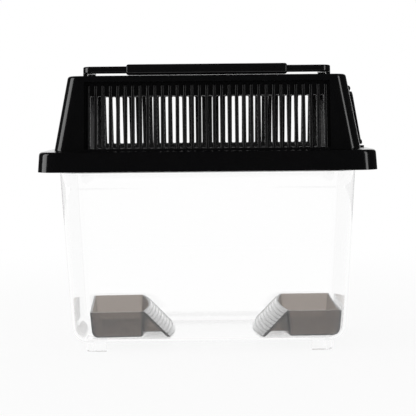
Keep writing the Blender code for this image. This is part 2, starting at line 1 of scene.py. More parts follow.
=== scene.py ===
"""Small cricket keeper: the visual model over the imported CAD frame.

A clear tank on four feet, a black hooded lid with ribbed grilles in front and
behind, a flap hatch on its right wall, a folding carry handle, and two smoked
feeding dishes with treaded ramps.

Units are metres and +Z is up. The front faces -Y and the feet stand on Z = 0.
"""
from math import cos, pi, radians, sin, tan
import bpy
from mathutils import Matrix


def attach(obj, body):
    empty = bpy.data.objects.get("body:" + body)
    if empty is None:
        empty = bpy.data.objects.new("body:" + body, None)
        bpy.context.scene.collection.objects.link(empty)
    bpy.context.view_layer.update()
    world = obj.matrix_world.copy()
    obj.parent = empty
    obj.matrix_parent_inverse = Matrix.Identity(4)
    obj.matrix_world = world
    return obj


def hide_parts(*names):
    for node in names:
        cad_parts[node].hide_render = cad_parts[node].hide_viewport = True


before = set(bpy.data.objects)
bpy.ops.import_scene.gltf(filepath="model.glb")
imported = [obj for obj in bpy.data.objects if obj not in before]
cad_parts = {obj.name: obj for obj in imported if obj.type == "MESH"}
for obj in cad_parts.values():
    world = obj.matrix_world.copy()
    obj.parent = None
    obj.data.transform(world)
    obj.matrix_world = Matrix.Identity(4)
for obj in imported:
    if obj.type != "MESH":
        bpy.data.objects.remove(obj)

from types import SimpleNamespace

import bmesh
import bpy
import numpy as np
from bpy.props import FloatProperty, FloatVectorProperty, IntProperty, PointerProperty
from mathutils import Matrix

bl_info = {
    "name": "Cricket Keeper",
    "version": (1, 0, 0),
    "blender": (4, 5, 0),
    "location": "View3D > Sidebar > Keeper",
    "description": "Builds a small cricket keeper with a hooded lid, a carry handle and two feeding dishes",
    "category": "Add Mesh",
}

# Play between two pieces that touch
SEAT_GAP = 0.0003
# An edge that turns further than this stays sharp
SHARP = radians(34)
# The least radius of a drawn-in corner, so that its points stay apart
LEAST_CORNER = 0.00005
# Edge radii of the hood, of the ears on the lid, and of a pin's ends
HOOD_EDGE = 0.00012
EAR_EDGE = 0.00025
PIN_EDGE = 0.0002


# Settings

def length(name, metres, description):
    return FloatProperty(name=name, description=description, default=metres, min=0, unit="LENGTH", precision=5)


def slope(name, degrees, description):
    return FloatProperty(name=name, description=description, default=radians(degrees), unit="ROTATION")


def linear(hex_colour):
    """An sRGB hex colour as linear red, green and blue."""
    channels = np.array([int(hex_colour[i:i + 2], 16) for i in (1, 3, 5)]) / 255
    return tuple(np.where(channels <= 0.04045, channels / 12.92, ((channels + 0.055) / 1.055) ** 2.4).tolist())


WHITE = linear("#ffffff")


def colour(name, hex_colour, description):
    return FloatVectorProperty(name=name, description=description, default=linear(hex_colour), subtype="COLOR",
                               size=3, min=0, max=1)


class TankSizes(bpy.types.PropertyGroup):
    length: length("Length", 0.1551, "Outside length of the tank at its bottom")
    depth: length("Depth", 0.0806, "Outside depth of the tank at its bottom")
    height: length("Height", 0.1065, "From the outside of the floor to the top of the rim")
    wall: length("Wall", 0.0016, "Thickness of the walls and floor")
    lean: slope("Lean", 2.9, "How far the walls lean out, for the mould")
    corner: length("Corner", 0.012, "Radius of the upright corners")
    bottom: length("Bottom radius", 0.0085, "Radius between the walls and the floor")
    rim_height: length("Rim height", 0.0085, "Height of the upright rim that the lid sits on")
    overhang: length("Rim overhang", 0.0076, "How far the rim stands out from the wall")
    rim_corner: length("Rim corner", 0.009, "Radius of the rim's corners")
    foot_height: length("Foot height", 0.0052, "Height of the feet")
    foot_length: length("Foot length", 0.0119, "Length of each leg of a foot's L")
    foot_width: length("Foot width", 0.004, "Width of each leg of a foot's L")
    foot_inset: length("Foot inset", 0.0074, "From the tank's bottom edge in to a foot")


class LidSizes(bpy.types.PropertyGroup):
    wall: length("Wall", 0.0018, "Thickness of the lid")
    fit: length("Fit", 0.0004, "Play between the skirt and the tank's rim")
    skirt: length("Skirt", 0.011, "Height of the skirt round the rim")
    flare: length("Flare", 0.0008, "How far the skirt spreads at its lower edge")
    skirt_round: length("Skirt edge", 0.002, "Radius between the skirt and the ledge")
    ledge: length("Ledge", 0.00775, "Width of the ledge between the skirt and the hood")
    height: length("Hood height", 0.0414, "From the ledge to the roof")
    lean: slope("Hood slope", 10.2, "How far the hood's walls lean in")
    corner: length("Hood corner", 0.008, "Radius of the hood's upright corners")
    roof_round: length("Roof edge", 0.0022, "Radius between the hood's walls and the roof")
    root_round: length("Root edge", 0.0007, "Radius where the hood rises from the ledge")


class GrilleSizes(bpy.types.PropertyGroup):
    front_pitch: length("Front pitch", 0.00408, "From one rib of the front grille to the next")
    rear_pitch: length("Rear pitch", 0.00409, "From one rib of the rear grille to the next")
    rib: length("Rib width", 0.002, "Width of a half-round rib")
    relief: length("Rib relief", 0.0011, "How far a rib stands out of its panel")
    height: length("Rib height", 0.0362, "Length of a rib, up the slope of the wall")
    front: IntProperty(name="Front ribs", description="Ribs on the front grille", default=33, min=2)
    rear: IntProperty(name="Rear ribs", description="Ribs on the rear grille", default=32, min=2)
    slot_rise: length("Slot rise", 0.0005, "From a rib's foot up to the front slots")
    rear_rise: length("Rear slot rise", 0.0012, "From a rib's foot up to the rear slots")
    slot: length("Slot height", 0.0293, "Length of an open slot")
    slot_round: length("Slot corner", 0.0006, "Radius of a slot's corners")
    sill: length("Sill", 0.0012, "From the ledge up to the ribs")
    margin: length("Margin", 0.0012, "Clear panel round the ribs")
    panel: length("Panel", 0.0016, "Thickness of the panel")
    lap: length("Lap", 0.0015, "How far the panel laps the wall behind it")


class HatchSizes(bpy.types.PropertyGroup):
    width: length("Width", 0.042, "Width of the flap")
    length: length("Length", 0.0325, "From the hinge to the flap's lower edge")
    thickness: length("Thickness", 0.002, "Thickness of the flap")
    corner: length("Corner", 0.003, "Radius of the flap's corners")
    axis: length("Axis height", 0.0339, "From the ledge to the hinge, up the slope of the wall")
    lip: length("Lip", 0.0026, "Height of the lifting lip")
    lip_depth: length("Lip depth", 0.0009, "How far the lip stands out of the flap")
    surround: length("Surround", 0.0023, "Width of the raised frame round the port")
    surround_height: length("Surround height", 0.0011, "How far the frame stands out of the wall")
    overlap: length("Overlap", 0.0022, "How far the flap covers the frame's outer edge")
    top_drop: length("Port drop", 0.0052, "From the hinge down to the port's top edge")
    port_corner: length("Port corner", 0.0015, "Radius of the port's corners")
    knuckle: length("Knuckle", 0.024, "Width of the flap's knuckle")
    knuckle_radius: length("Knuckle radius", 0.0014, "Radius of the knuckle")
    ear: length("Ear radius", 0.0017, "Radius of the hinge ears on the lid")
    ear_width: length("Ear width", 0.0032, "Width of a hinge ear")
    pin: length("Pin", 0.0008, "Radius of the hinge pins")
    stop_width: length("Stop width", 0.014, "Width of the stop on the ledge")
    stop_height: length("Stop height", 0.0009, "Height of the stop")
    stop_depth: length("Stop depth", 0.0023, "Depth of the stop")
    stop_inset: length("Stop inset", 0.0014, "From the skirt in to the stop")


class HandleSizes(bpy.types.PropertyGroup):
    length: length("Length", 0.1381, "Outside length of the bail")
    reach: length("Reach", 0.0315, "From the pivots to the middle of the grip")
    corner: length("Corner", 0.006, "Outer radius of the bail's corners")
    bar_height: length("Bar height", 0.0039, "Thickness of the bar")
    bar_depth: length("Bar depth", 0.005, "Width of the front bar")
    bar_round: length("Bar edge", 0.0009, "Radius of the bar's edges")
    arm: length("Arm width", 0.0044, "Width of the two arms")
    grip: length("Grip length", 0.0892, "Length of the thicker grip")
    grip_height: length("Grip height", 0.006, "Thickness of the grip")
    grip_depth: length("Grip depth", 0.0085, "Width of the grip")
    grip_round: length("Grip edge", 0.0016, "Radius of the grip's edges")
    grip_end: length("Grip end", 0.0013, "Radius of the edges round the grip's two ends")
    ear_width: length("Ear width", 0.0024, "Width of the ears on the roof")
    ear: length("Ear radius", 0.0028, "Radius of the ears")
    flare: length("Ear flare", 0.0008, "Size of the fillet at the foot of an ear")
    pin: length("Pin", 0.0012, "Radius of the pivot pins")


class DishSizes(bpy.types.PropertyGroup):
    length: length("Length", 0.0304, "Length of the cup at its sides")
    depth: length("Depth", 0.064, "Width of the cup, across the tank")
    height: length("Height", 0.0154, "Height of the cup")
    wall: length("Wall", 0.0012, "Thickness of the cup")
    bow: length("Bow", 0.0042, "How far the ramp end bows out in the middle")
    draft: length("Draft", 0.0013, "How far the walls draw in at the bottom")
    corner: length("Corner", 0.001, "Radius of the square end's corners")
    bow_corner: length("Bow corner", 0.003, "Radius where the bowed end meets the sides")
    bottom: length("Bottom radius", 0.0015, "Radius between the sides and the bottom")
    end: length("End radius", 0.0042, "Radius between the square end and the bottom")
    run: length("Ramp run", 0.0149, "How far the ramp reaches from the cup")
    ramp: length("Ramp thickness", 0.0014, "Thickness of the ramp's plate")
    ramp_inset: length("Ramp inset", 0.0012, "From the cup's side in to the ramp's edge")
    toe: length("Toe", 0.0006, "Thickness of the ramp's lower edge")
    web_inset: length("Web inset", 0.0009, "From the ramp's edge in to a web")
    web: length("Web thickness", 0.0022, "Thickness of the webs under the ramp")
    web_foot: length("Web clearance", 0.0035, "From the floor up to a web's lower edge")
    treads: IntProperty(name="Treads", description="Cross ridges on a ramp", default=8, min=1)
    tread: length("Tread height", 0.0004, "Height of a ridge")
    left_gap: length("Left gap", 0.00685, "From the tank's left wall to the left cup")
    left_turn: slope("Left turn", 3.3, "How far the left dish is turned")
    right_gap: length("Right gap", 0.00115, "From the tank's right wall to the right cup")
    right_turn: slope("Right turn", 180.7, "How far the right dish is turned")


class Finishes(bpy.types.PropertyGroup):
    lid: colour("Lid", "#060607", "Black of the lid")
    grille: colour("Grille", "#060607", "Satin black of the grilles")
    handle: colour("Handle", "#0b0b0c", "Black of the handle")
    hatch: colour("Hatch", "#0c0c0d", "Black of the hatch")
    clear: colour("Tank", "#ffffff", "Tint of the clear tank")
    smoke: colour("Dishes", "#84643a", "Tint that the dishes' plastic keeps of white light")
    smoke_density: FloatProperty(name="Smoke", description="How much light a metre of the dishes' plastic takes",
                                 default=1250, min=0)
    smoke_shadow: colour("Dish shadow", "#978b84", "What a wall of a dish lets through of a lamp's light")
    floor: colour("Floor", "#ffffff", "Colour of the floor and backdrop")


class Keeper(bpy.types.PropertyGroup):
    tank: PointerProperty(type=TankSizes)
    lid: PointerProperty(type=LidSizes)
    grille: PointerProperty(type=GrilleSizes)
    hatch: PointerProperty(type=HatchSizes)
    handle: PointerProperty(type=HandleSizes)
    dish: PointerProperty(type=DishSizes)
    finish: PointerProperty(type=Finishes)


def places(keeper):
    """Heights and half sizes that several pieces share, worked out from the settings."""
    tank, lid = keeper.tank, keeper.lid
    shelf = tank.height - tank.rim_height
    rim_x = tank.length / 2 + shelf * tan(tank.lean) + tank.overhang
    rim_y = tank.depth / 2 + shelf * tan(tank.lean) + tank.overhang
    seat = tank.foot_height + tank.height + SEAT_GAP
    skirt_x, skirt_y = rim_x + lid.fit + lid.wall, rim_y + lid.fit + lid.wall
    roof = seat + lid.wall + lid.height
    return SimpleNamespace(
        shelf=shelf, rim_x=rim_x, rim_y=rim_y, floor=tank.foot_height + tank.wall, ledge=seat + lid.wall,
        skirt_x=skirt_x, skirt_y=skirt_y, skirt_corner=tank.rim_corner + lid.fit + lid.wall,
        hood_x=skirt_x - lid.ledge, hood_y=skirt_y - lid.ledge, roof=roof,
        pivot=roof + SEAT_GAP + keeper.handle.grip_height / 2)


# Surfaces

def perimeter(stops=((), (), (), ()), steps=10):
    """Columns round a rounded rectangle, anticlockwise from the front side.

    Each column has the sign of its corner, its own place along a straight side
    and its outward normal. stops are places along the front, right, back and
    left sides, in the direction of travel.
    """
    parts = []
    for quarter, along in enumerate(stops):
        angle = (quarter - 1) * pi / 2
        normal = np.round([cos(angle), sin(angle)])
        travel = np.array([-normal[1], normal[0]])
        along = np.reshape(along, (-1, 1)) * travel
        normals = np.tile(normal, (len(along), 1))
        parts.append(np.hstack([normals, along, normals]))
        turn = np.linspace(angle, angle + pi / 2, steps + 1)
        parts.append(np.hstack([np.tile(normal + travel, (steps + 1, 1)), np.zeros((steps + 1, 2)),
                                np.stack([np.cos(turn), np.sin(turn)], axis=1)]))
    return np.concatenate(parts)


def walls(columns, half_x, half_y, corner, z):
    """Rounded rectangles, one for each row of half sizes, corner radius and height.

    A point is its corner's sign times (half size - radius), plus its place
    along a side, plus the radius times its normal.
    """
    half_x, half_y, corner, z = np.broadcast_arrays(*map(np.atleast_1d, (half_x, half_y, corner, z)))
    half = np.stack([half_x, half_y], axis=-1)[:, None, :]
    corner = corner[:, None, None]
    return raised(columns[:, 0:2] * (half - corner) + columns[:, 2:4] + corner * columns[:, 4:6], z)


def raised(flat, z):
    """Rows of flat points, each row at its own height."""
    return np.concatenate([flat, np.broadcast_to(z[:, None, None], flat.shape[:2] + (1,))], axis=-1)


def cells(rows, cols, round_cols=False, round_rows=False):
    """The four corners of every cell of a grid, closed on itself where asked."""
    index = np.arange(rows * cols).reshape(rows, cols)
    if round_cols:
        index = np.hstack([index, index[:, :1]])
    if round_rows:
        index = np.vstack([index, index[:1]])
    return np.stack([index[:-1, :-1], index[:-1, 1:], index[1:, 1:], index[1:, :-1]], axis=-1)


def loft(rings):
    """A closed solid through rings of points, with a flat face on the first and the last."""
    rows, cols = rings.shape[:2]
    ends = [np.arange(cols)[::-1].tolist(), np.arange((rows - 1) * cols, rows * cols).tolist()]
    return rings.reshape(-1, 3), cells(rows, cols, round_cols=True).reshape(-1, 4).tolist() + ends


def looped(rings):
    """A closed solid through rings of points that come back to the first."""
    rows, cols = rings.shape[:2]
    return rings.reshape(-1, 3), cells(rows, cols, round_cols=True, round_rows=True).reshape(-1, 4).tolist()


def pierced(front, back, keep, round_cols=False, capped=False):
    """A wall with openings, from a front and a back grid of points.

    Kept cells show on both grids, and a side face closes the wall wherever a
    kept cell meets an opening or the border. capped closes the last row with
    a flat face on each grid in place of side faces.
    """
    rows, cols = front.shape[:2]
    quads = cells(rows, cols, round_cols)
    behind = rows * cols
    beyond = np.pad(keep, 1)
    if round_cols:
        beyond[:, 0], beyond[:, -1] = beyond[:, -2], beyond[:, 1]
    if capped:
        beyond[-1] = True
    faces = [quads[keep], quads[keep][:, ::-1] + behind]
    neighbours = (beyond[:-2, 1:-1], beyond[1:-1, 2:], beyond[2:, 1:-1], beyond[1:-1, :-2])
    for side, neighbour in enumerate(neighbours):
        edge = quads[keep & ~neighbour][:, [(side + 1) % 4, side]]
        faces.append(np.hstack([edge, edge[:, ::-1] + behind]))
    faces = np.concatenate(faces)
    caps = np.arange((rows - 1) * cols, rows * cols)
    used, faces = np.unique(np.append(faces.ravel(), np.append(caps, caps + behind) if capped else []).astype(int),
                            return_inverse=True)
    points = np.concatenate([front.reshape(-1, 3), back.reshape(-1, 3)])[used]
    polygons = faces[:len(faces) - 2 * cols].reshape(-1, 4).tolist() if capped else faces.reshape(-1, 4).tolist()
    if capped:
        polygons += [faces[-2 * cols:-cols].tolist(), faces[-cols:][::-1].tolist()]
    return points, polygons


def together(*forms):
    """Several closed forms as one, each with its faces numbered on from the last."""
    starts = np.cumsum([0] + [len(points) for points, _ in forms])
    faces = [[corner + int(start) for corner in face] for start, (_, part) in zip(starts, forms) for face in part]
    return np.concatenate([points for points, _ in forms]), faces


def eased(corners, reach, steps=4):
    """A polyline with each inner corner turned into a parabola that starts and ends reach away from it."""
    corners = np.asarray(corners, float)
    reach = np.broadcast_to(reach, len(corners) - 2)
    t = np.linspace(0, 1, steps + 1)[:, None]
    path = [corners[:1]]
    for before, corner, after, far in zip(corners, corners[1:], corners[2:], reach):
        start = corner + (before - corner) * min(far / np.linalg.norm(before - corner), 0.5)
        end = corner + (after - corner) * min(far / np.linalg.norm(after - corner), 0.5)
        path.append((1 - t) ** 2 * start + 2 * t * (1 - t) * corner + t ** 2 * end)
    return np.concatenate(path + [corners[-1:]])


def outward(profile):
    """Normals of a (distance out, height) profile that climbs and turns in.

    Each lies halfway between those of its two segments, and is lengthened so
    that an offset keeps its distance from both.
    """
    step = np.diff(profile, axis=0)
    unit = step / np.linalg.norm(step, axis=1, keepdims=True)
    mean = np.vstack([unit[:1], unit]) + np.vstack([unit, unit[-1:]])
    side = np.stack([mean[:, 1], -mean[:, 0]], axis=1)
    return side * 2 / (side ** 2).sum(axis=1, keepdims=True)


def softened(low, high, edge, steps=3):
    """Stations from low to high and how far the outline draws in at each, for a quarter-round edge at both ends."""
    turn = np.linspace(0, pi / 2, steps + 1)
    along, inset = edge * (1 - np.sin(turn)), edge * (1 - np.cos(turn))
    return np.append(low + along[::-1], high - along), np.append(inset[::-1], inset)


def block(half_u, half_v, corner, low, high, edge, steps=5):
    """A rounded rectangle drawn out from low to high, with quarter-round end edges."""
    along, inset = softened(low, high, edge)
    return walls(perimeter(steps=steps), half_u - inset, half_v - inset, np.maximum(corner - inset, LEAST_CORNER),
                 along)


def spindle(radius, low, high, edge, steps=28):
    """A round pin from low to high: a circle drawn out, with quarter-round end edges."""
    along, inset = softened(low, high, edge)
    turn = np.linspace(0, 2 * pi, steps, endpoint=False)
    reach = (radius - inset)[:, None]
    return np.stack(np.broadcast_arrays(reach * np.cos(turn), reach * np.sin(turn), along[:, None]), axis=-1)


def placed(points, origin, *axes):
    """Points given along three axes from an origin."""
    return np.asarray(origin) + points @ np.array(axes, float)


def arc(centre, radius, start, end, steps):
    """Points at even angles round a centre."""
    turn = np.linspace(start, end, steps + 1)
    return np.stack([centre[0] + radius * np.cos(turn), centre[1] + radius * np.sin(turn)], axis=1)


def drawn(outline, low, high):
    """Two rings of a flat outline, at low and high."""
    outline = np.asarray(outline, float)
    return np.stack([np.hstack([outline, np.full((len(outline), 1), level)]) for level in (low, high)])


# Pieces

def mesh_of(name, form):
    """A mesh of a form, with its faces turned outwards."""
    points, faces = form
    mesh = bpy.data.meshes.new(name)
    mesh.from_pydata(points, [], faces)
    skin = bmesh.new()
    skin.from_mesh(mesh)
    bmesh.ops.recalc_face_normals(skin, faces=skin.faces)
    skin.to_mesh(mesh)
    skin.free()
    return mesh


def new_object(name, data):
    """An object in the scene with its mesh, lamp or camera."""
    item = bpy.data.objects.new(name, data)
    bpy.context.scene.collection.objects.link(item)
    return item


def united(name, *forms):
    """One closed mesh from forms that overlap, by Blender's exact union."""
    items = [new_object(name, mesh_of(name, form)) for form in forms]
    for tool in items[1:]:
        union = items[0].modifiers.new("Union", "BOOLEAN")
        union.operation, union.solver, union.object, union.use_self = "UNION", "EXACT", tool, True
    graph = bpy.context.evaluated_depsgraph_get()
    mesh = bpy.data.meshes.new_from_object(items[0].evaluated_get(graph))
    for item in items:
        old = item.data
        bpy.data.objects.remove(item)
        bpy.data.meshes.remove(old)
    if len(mesh.polygons) == 0:
        raise RuntimeError(f"the union of {name} is empty")
    return mesh


def add_piece(name, mesh, material, body, replaces=(), edge=0.0):
    """Put a piece in the scene with its finish, rounded edges and body."""
    item = new_object(name, mesh)
    mesh.materials.clear()
    mesh.materials.append(material)
    mesh.shade_smooth()
    mesh.set_sharp_from_angle(angle=SHARP)
    if edge:
        bevel = item.modifiers.new("Moulded edges", "BEVEL")
        bevel.width, bevel.segments = edge, 3
        bevel.limit_method, bevel.angle_limit = "ANGLE", SHARP
        bevel.harden_normals = True
    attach(item, body)
    if replaces:
        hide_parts(*replaces)


# Materials

def add_node(tree, kind, inputs=(), **settings):
    """Add a node with its settings, its plain values and its links."""
    item = tree.nodes.new(kind)
    for name, value in settings.items():
        setattr(item, name, value)
    for name, value in dict(inputs).items():
        if isinstance(value, bpy.types.NodeSocket):
            tree.links.new(value, item.inputs[name])
        else:
            item.inputs[name].default_value = value
    return item


def new_material(name):
    """A material with no nodes yet, and its node tree."""
    material = bpy.data.materials.new(name)
    material.use_nodes = True
    material.node_tree.nodes.clear()
    return material, material.node_tree


def rgba(tint, share=1, lift=0):
    """A colour with its alpha: a share of the tint, lifted by a little."""
    return (*[value * share + lift for value in tint], 1)


def moulded_black(name, tint, roughness):
    """Injection-moulded black ABS.

    A polished mould gives crisp highlights with a slight orange peel, and
    handling leaves patches that are a little duller.
    """
    material, tree = new_material(name)
    place = add_node(tree, "ShaderNodeTexCoord").outputs["Object"]
    # Handling marks, 20 mm across
    smears = add_node(tree, "ShaderNodeTexNoise", {"Vector": place, "Scale": 1 / 0.02, "Detail": 3,
                                                   "Roughness": 0.6})
    duller = add_node(tree, "ShaderNodeMapRange", {"Value": smears.outputs["Fac"], "From Min": 0.3, "From Max": 0.75,
                                                   "To Min": roughness * 0.85, "To Max": roughness * 1.35})
    # Orange peel of the mould, 1.2 mm across: finer would not show in the render
    peel = add_node(tree, "ShaderNodeTexNoise", {"Vector": place, "Scale": 1 / 0.0012, "Detail": 2})
    bump = add_node(tree, "ShaderNodeBump", {"Height": peel.outputs["Fac"], "Strength": 0.12, "Distance": 0.00002})
    # Fine dust that settles on a black plastic, seen as a faint change of its black
    dust = add_node(tree, "ShaderNodeTexNoise", {"Vector": place, "Scale": 1 / 0.006, "Detail": 4})
    shade = add_node(tree, "ShaderNodeMapRange", {"Value": dust.outputs["Fac"], "From Min": 0.35, "From Max": 0.8,
                                                  "To Min": 0.0, "To Max": 0.35})
    dusty = add_node(tree, "ShaderNodeMix", {"Factor": shade.outputs["Result"], "A": rgba(tint),
                                             "B": rgba(tint, lift=0.002)}, data_type="RGBA")
    surface = add_node(tree, "ShaderNodeBsdfPrincipled", {
        "Base Color": dusty.outputs["Result"], "Roughness": duller.outputs["Result"], "IOR": 1.5,
        "Normal": bump.outputs["Normal"]})
    add_node(tree, "ShaderNodeOutputMaterial", {"Surface": surface.outputs["BSDF"]})
    return material


def clear_plastic(name, tint):
    """Injection-moulded clear polystyrene.

    Glass-clear with a high index, so its edges and corners gather dark and
    light lines; the light lines are partly a painted glow. The walls have a
    slight waviness from the mould.
    """
    material, tree = new_material(name)
    place = add_node(tree, "ShaderNodeTexCoord").outputs["Object"]
    # Flow marks, 25 mm across
    flow = add_node(tree, "ShaderNodeTexNoise", {"Vector": place, "Scale": 1 / 0.025, "Detail": 1})
    bump = add_node(tree, "ShaderNodeBump", {"Height": flow.outputs["Fac"], "Strength": 0.1, "Distance": 0.0002})
    # Haze of fine scuffs, 5 mm across
    scuffs = add_node(tree, "ShaderNodeTexNoise", {"Vector": place, "Scale": 1 / 0.005, "Detail": 3})
    haze = add_node(tree, "ShaderNodeMapRange", {"Value": scuffs.outputs["Fac"], "From Min": 0.4, "From Max": 0.8,
                                                 "To Min": 0.01, "To Max": 0.04})
    surface = add_node(tree, "ShaderNodeBsdfPrincipled", {
        "Base Color": rgba(tint), "Roughness": haze.outputs["Result"], "IOR": 1.59, "Transmission Weight": 1.0,
        "Normal": bump.outputs["Normal"]})
    # Lamps pass: a shadow ray goes straight through
    through = add_node(tree, "ShaderNodeBsdfTransparent", {"Color": rgba(tint, 0.9)})
    rays = add_node(tree, "ShaderNodeLightPath")
    mix = add_node(tree, "ShaderNodeMixShader", {0: rays.outputs["Is Shadow Ray"], 1: surface.outputs["BSDF"],
                                                 2: through.outputs["BSDF"]})
    # Where the walls have thrown a path to and fro more than four times, the plastic glows with a painted light of
    # the room's white, less what the walls keep, so that the edges show as thin light grey lines
    lost = add_node(tree, "ShaderNodeMath", {0: rays.outputs["Ray Depth"], 1: 4.5}, operation="GREATER_THAN")
    # Painted glow: an emission on the clear plastic, standing in for light
    room = add_node(tree, "ShaderNodeEmission", {"Color": rgba(tint), "Strength": 0.85})
    whole = add_node(tree, "ShaderNodeMixShader", {0: lost.outputs["Value"], 1: mix.outputs["Shader"],
                                                   2: room.outputs["Emission"]})
    add_node(tree, "ShaderNodeOutputMaterial", {"Surface": whole.outputs["Shader"]})
    return material


def smoked_plastic(name, finish, coat_and_painted_sheen):
    """Injection-moulded smoked polystyrene.

    A grey-brown dye darkens it with depth, so that each layer that the eye
    looks through makes it deeper, and the polished rims catch white. A ramp's
    top has a glossy coat and a painted sheen: a share of white diffuse in place
    of the white that its top reflects, which shows pale along it.
    """
    material, tree = new_material(name)
    place = add_node(tree, "ShaderNodeTexCoord").outputs["Object"]
    # Scuffs from feed and feet, 3 mm across
    scuffs = add_node(tree, "ShaderNodeTexNoise", {"Vector": place, "Scale": 1 / 0.003, "Detail": 3})
    haze = add_node(tree, "ShaderNodeMapRange", {"Value": scuffs.outputs["Fac"], "From Min": 0.4, "From Max": 0.8,
                                                 "To Min": 0.05, "To Max": 0.12})
    bump = add_node(tree, "ShaderNodeBump", {"Height": scuffs.outputs["Fac"], "Strength": 0.1, "Distance": 0.00003})
    # The share of white diffuse on a ramp's top is painted sheen, in place of the white that the top reflects
    surface = add_node(tree, "ShaderNodeBsdfPrincipled", {
        "Base Color": rgba(WHITE), "Roughness": haze.outputs["Result"], "IOR": 1.4,
        "Transmission Weight": 1 - 0.25 * coat_and_painted_sheen, "Coat Weight": coat_and_painted_sheen, "Coat Roughness": 0.15, "Coat IOR": 1.6,
        "Normal": bump.outputs["Normal"]})
    through = add_node(tree, "ShaderNodeBsdfTransparent", {"Color": rgba(finish.smoke_shadow)})
    rays = add_node(tree, "ShaderNodeLightPath")
    mix = add_node(tree, "ShaderNodeMixShader", {0: rays.outputs["Is Shadow Ray"], 1: surface.outputs["BSDF"],
                                                 2: through.outputs["BSDF"]})
    dye = add_node(tree, "ShaderNodeVolumeAbsorption", {"Color": rgba(finish.smoke),
                                                        "Density": finish.smoke_density})
    add_node(tree, "ShaderNodeOutputMaterial", {"Surface": mix.outputs["Shader"], "Volume": dye.outputs["Volume"]})
    return material


def satin_black(name, tint, gloss_and_painted_shade):
    """Moulded black ABS with a fine spark-eroded texture, as on the grilles.

    The texture spreads a highlight along each rib and keeps the flats dark.
    """
    material, tree = new_material(name)
    place = add_node(tree, "ShaderNodeTexCoord").outputs["Object"]
    # Uneven wear of the texture, 8 mm across
    wear = add_node(tree, "ShaderNodeTexNoise", {"Vector": place, "Scale": 1 / 0.008, "Detail": 3})
    satin = add_node(tree, "ShaderNodeMapRange", {"Value": wear.outputs["Fac"], "From Min": 0.3, "From Max": 0.75,
                                                  "To Min": 0.2, "To Max": 0.3})
    # Eroded grain, 0.6 mm across: the real grain is ten times finer and would not show
    grain = add_node(tree, "ShaderNodeTexNoise", {"Vector": place, "Scale": 1 / 0.0006, "Detail": 1})
    bump = add_node(tree, "ShaderNodeBump", {"Height": grain.outputs["Fac"], "Strength": 0.05, "Distance": 0.00001})
    # A low level of reflection, as on the rear grille's copy, is painted shade
    surface = add_node(tree, "ShaderNodeBsdfPrincipled", {
        "Base Color": rgba(tint), "Roughness": satin.outputs["Result"], "IOR": 1.5, "Specular IOR Level": gloss_and_painted_shade,
        "Normal": bump.outputs["Normal"]})
    add_node(tree, "ShaderNodeOutputMaterial", {"Surface": surface.outputs["BSDF"]})
    return material


# Operators

class KeeperOperator(bpy.types.Operator):
    """What the operators that build the keeper share."""
    bl_options = {"REGISTER", "UNDO"}


class KEEPER_OT_tank(KeeperOperator):
    """Build the clear tank with its rim and four feet"""
    bl_idname = "keeper.tank"
    bl_label = "Tank"

    def execute(self, context):
        keeper = context.scene.keeper
        tank, at = keeper.tank, places(keeper)
        add_piece("tank_body", united("tank_body", tank_body(tank, at), *tank_feet(tank)),
                  clear_plastic("Clear polystyrene", keeper.finish.clear), "tank",
                  ["tank"] + [f"foot_{row}_{end}" for row in ("front", "rear") for end in ("left", "right")])
        return {"FINISHED"}


def tank_body(tank, at):
    """The box: a profile from the middle of the floor up the outside, over the rim and down the inside.

    Half sizes are those at the bottom plus the profile's distance out, and the
    bottom edge is a quarter circle inside and out. The rim's profile leaves the
    outer wall a little under the shelf, and comes back to the inner wall there.
    """
    leaves, comes_back = 0.9, 0.85
    bends = [0.0016, 0.0009, 0.0006, 0.0006, 0.0006, 0.0012]
    least_corner = 0.002

    def edge(radius, low, inset):
        """Rows round the bottom edge: (distance out, corner radius, height)."""
        turn = np.linspace(0, pi / 2, 11)
        height = low + radius * (1 - np.cos(turn))
        shrink = inset + radius * (1 - np.sin(turn))
        return np.stack([height * tan(tank.lean) - shrink, np.maximum(tank.corner - shrink, least_corner), height],
                        axis=1)

    rim_out = at.rim_x - tank.length / 2
    out = at.shelf * tan(tank.lean)
    rim = eased([
        (out * leaves, tank.corner, at.shelf * leaves), (out, tank.corner, at.shelf),
        (rim_out, tank.rim_corner, at.shelf), (rim_out, tank.rim_corner, tank.height),
        (rim_out - tank.wall, tank.rim_corner - tank.wall, tank.height),
        (rim_out - tank.wall, tank.rim_corner - tank.wall, at.shelf + tank.wall),
        (out - tank.wall, tank.corner - tank.wall, at.shelf + tank.wall),
        (out * comes_back - tank.wall, tank.corner - tank.wall, at.shelf * comes_back)], bends)
    rows = np.concatenate([edge(tank.bottom, 0, 0), rim,
                           edge(tank.bottom - tank.wall, tank.wall, tank.wall)[::-1]])
    return loft(walls(perimeter(steps=14), tank.length / 2 + rows[:, 0], tank.depth / 2 + rows[:, 0], rows[:, 1],
                      tank.foot_height + rows[:, 2]))


def tank_feet(tank):
    """Four L-shaped feet: a rounded rectangle carried along a path that turns one corner.

    Each goes up into the tank's floor by a share of the floor's thickness.
    """
    heel, edge, share = 0.0022, 0.0006, 0.6
    half = tank.foot_width / 2
    x = tank.length / 2 - tank.foot_inset
    y = tank.depth / 2 - tank.foot_inset
    path = eased([(x - tank.foot_length, y - half), (x - half, y - half), (x - half, y - tank.foot_length)],
                 heel, steps=6)
    tangent = np.gradient(path, axis=0)
    tangent /= np.linalg.norm(tangent, axis=1, keepdims=True)
    across = np.stack([-tangent[:, 1], tangent[:, 0]], axis=1)
    middle = (tank.foot_height + tank.wall * share) / 2
    profile = walls(perimeter(steps=3), half, middle, edge, 0)[0, :, :2]
    rings = np.concatenate([
        path[:, None, :] + profile[:, :1] * across[:, None, :],
        np.broadcast_to(profile[:, 1:] + middle, (len(path),) + profile[:, 1:].shape)], axis=-1)
    return [loft(rings * [side_x, side_y, 1]) for side_x in (-1, 1) for side_y in (-1, 1)]


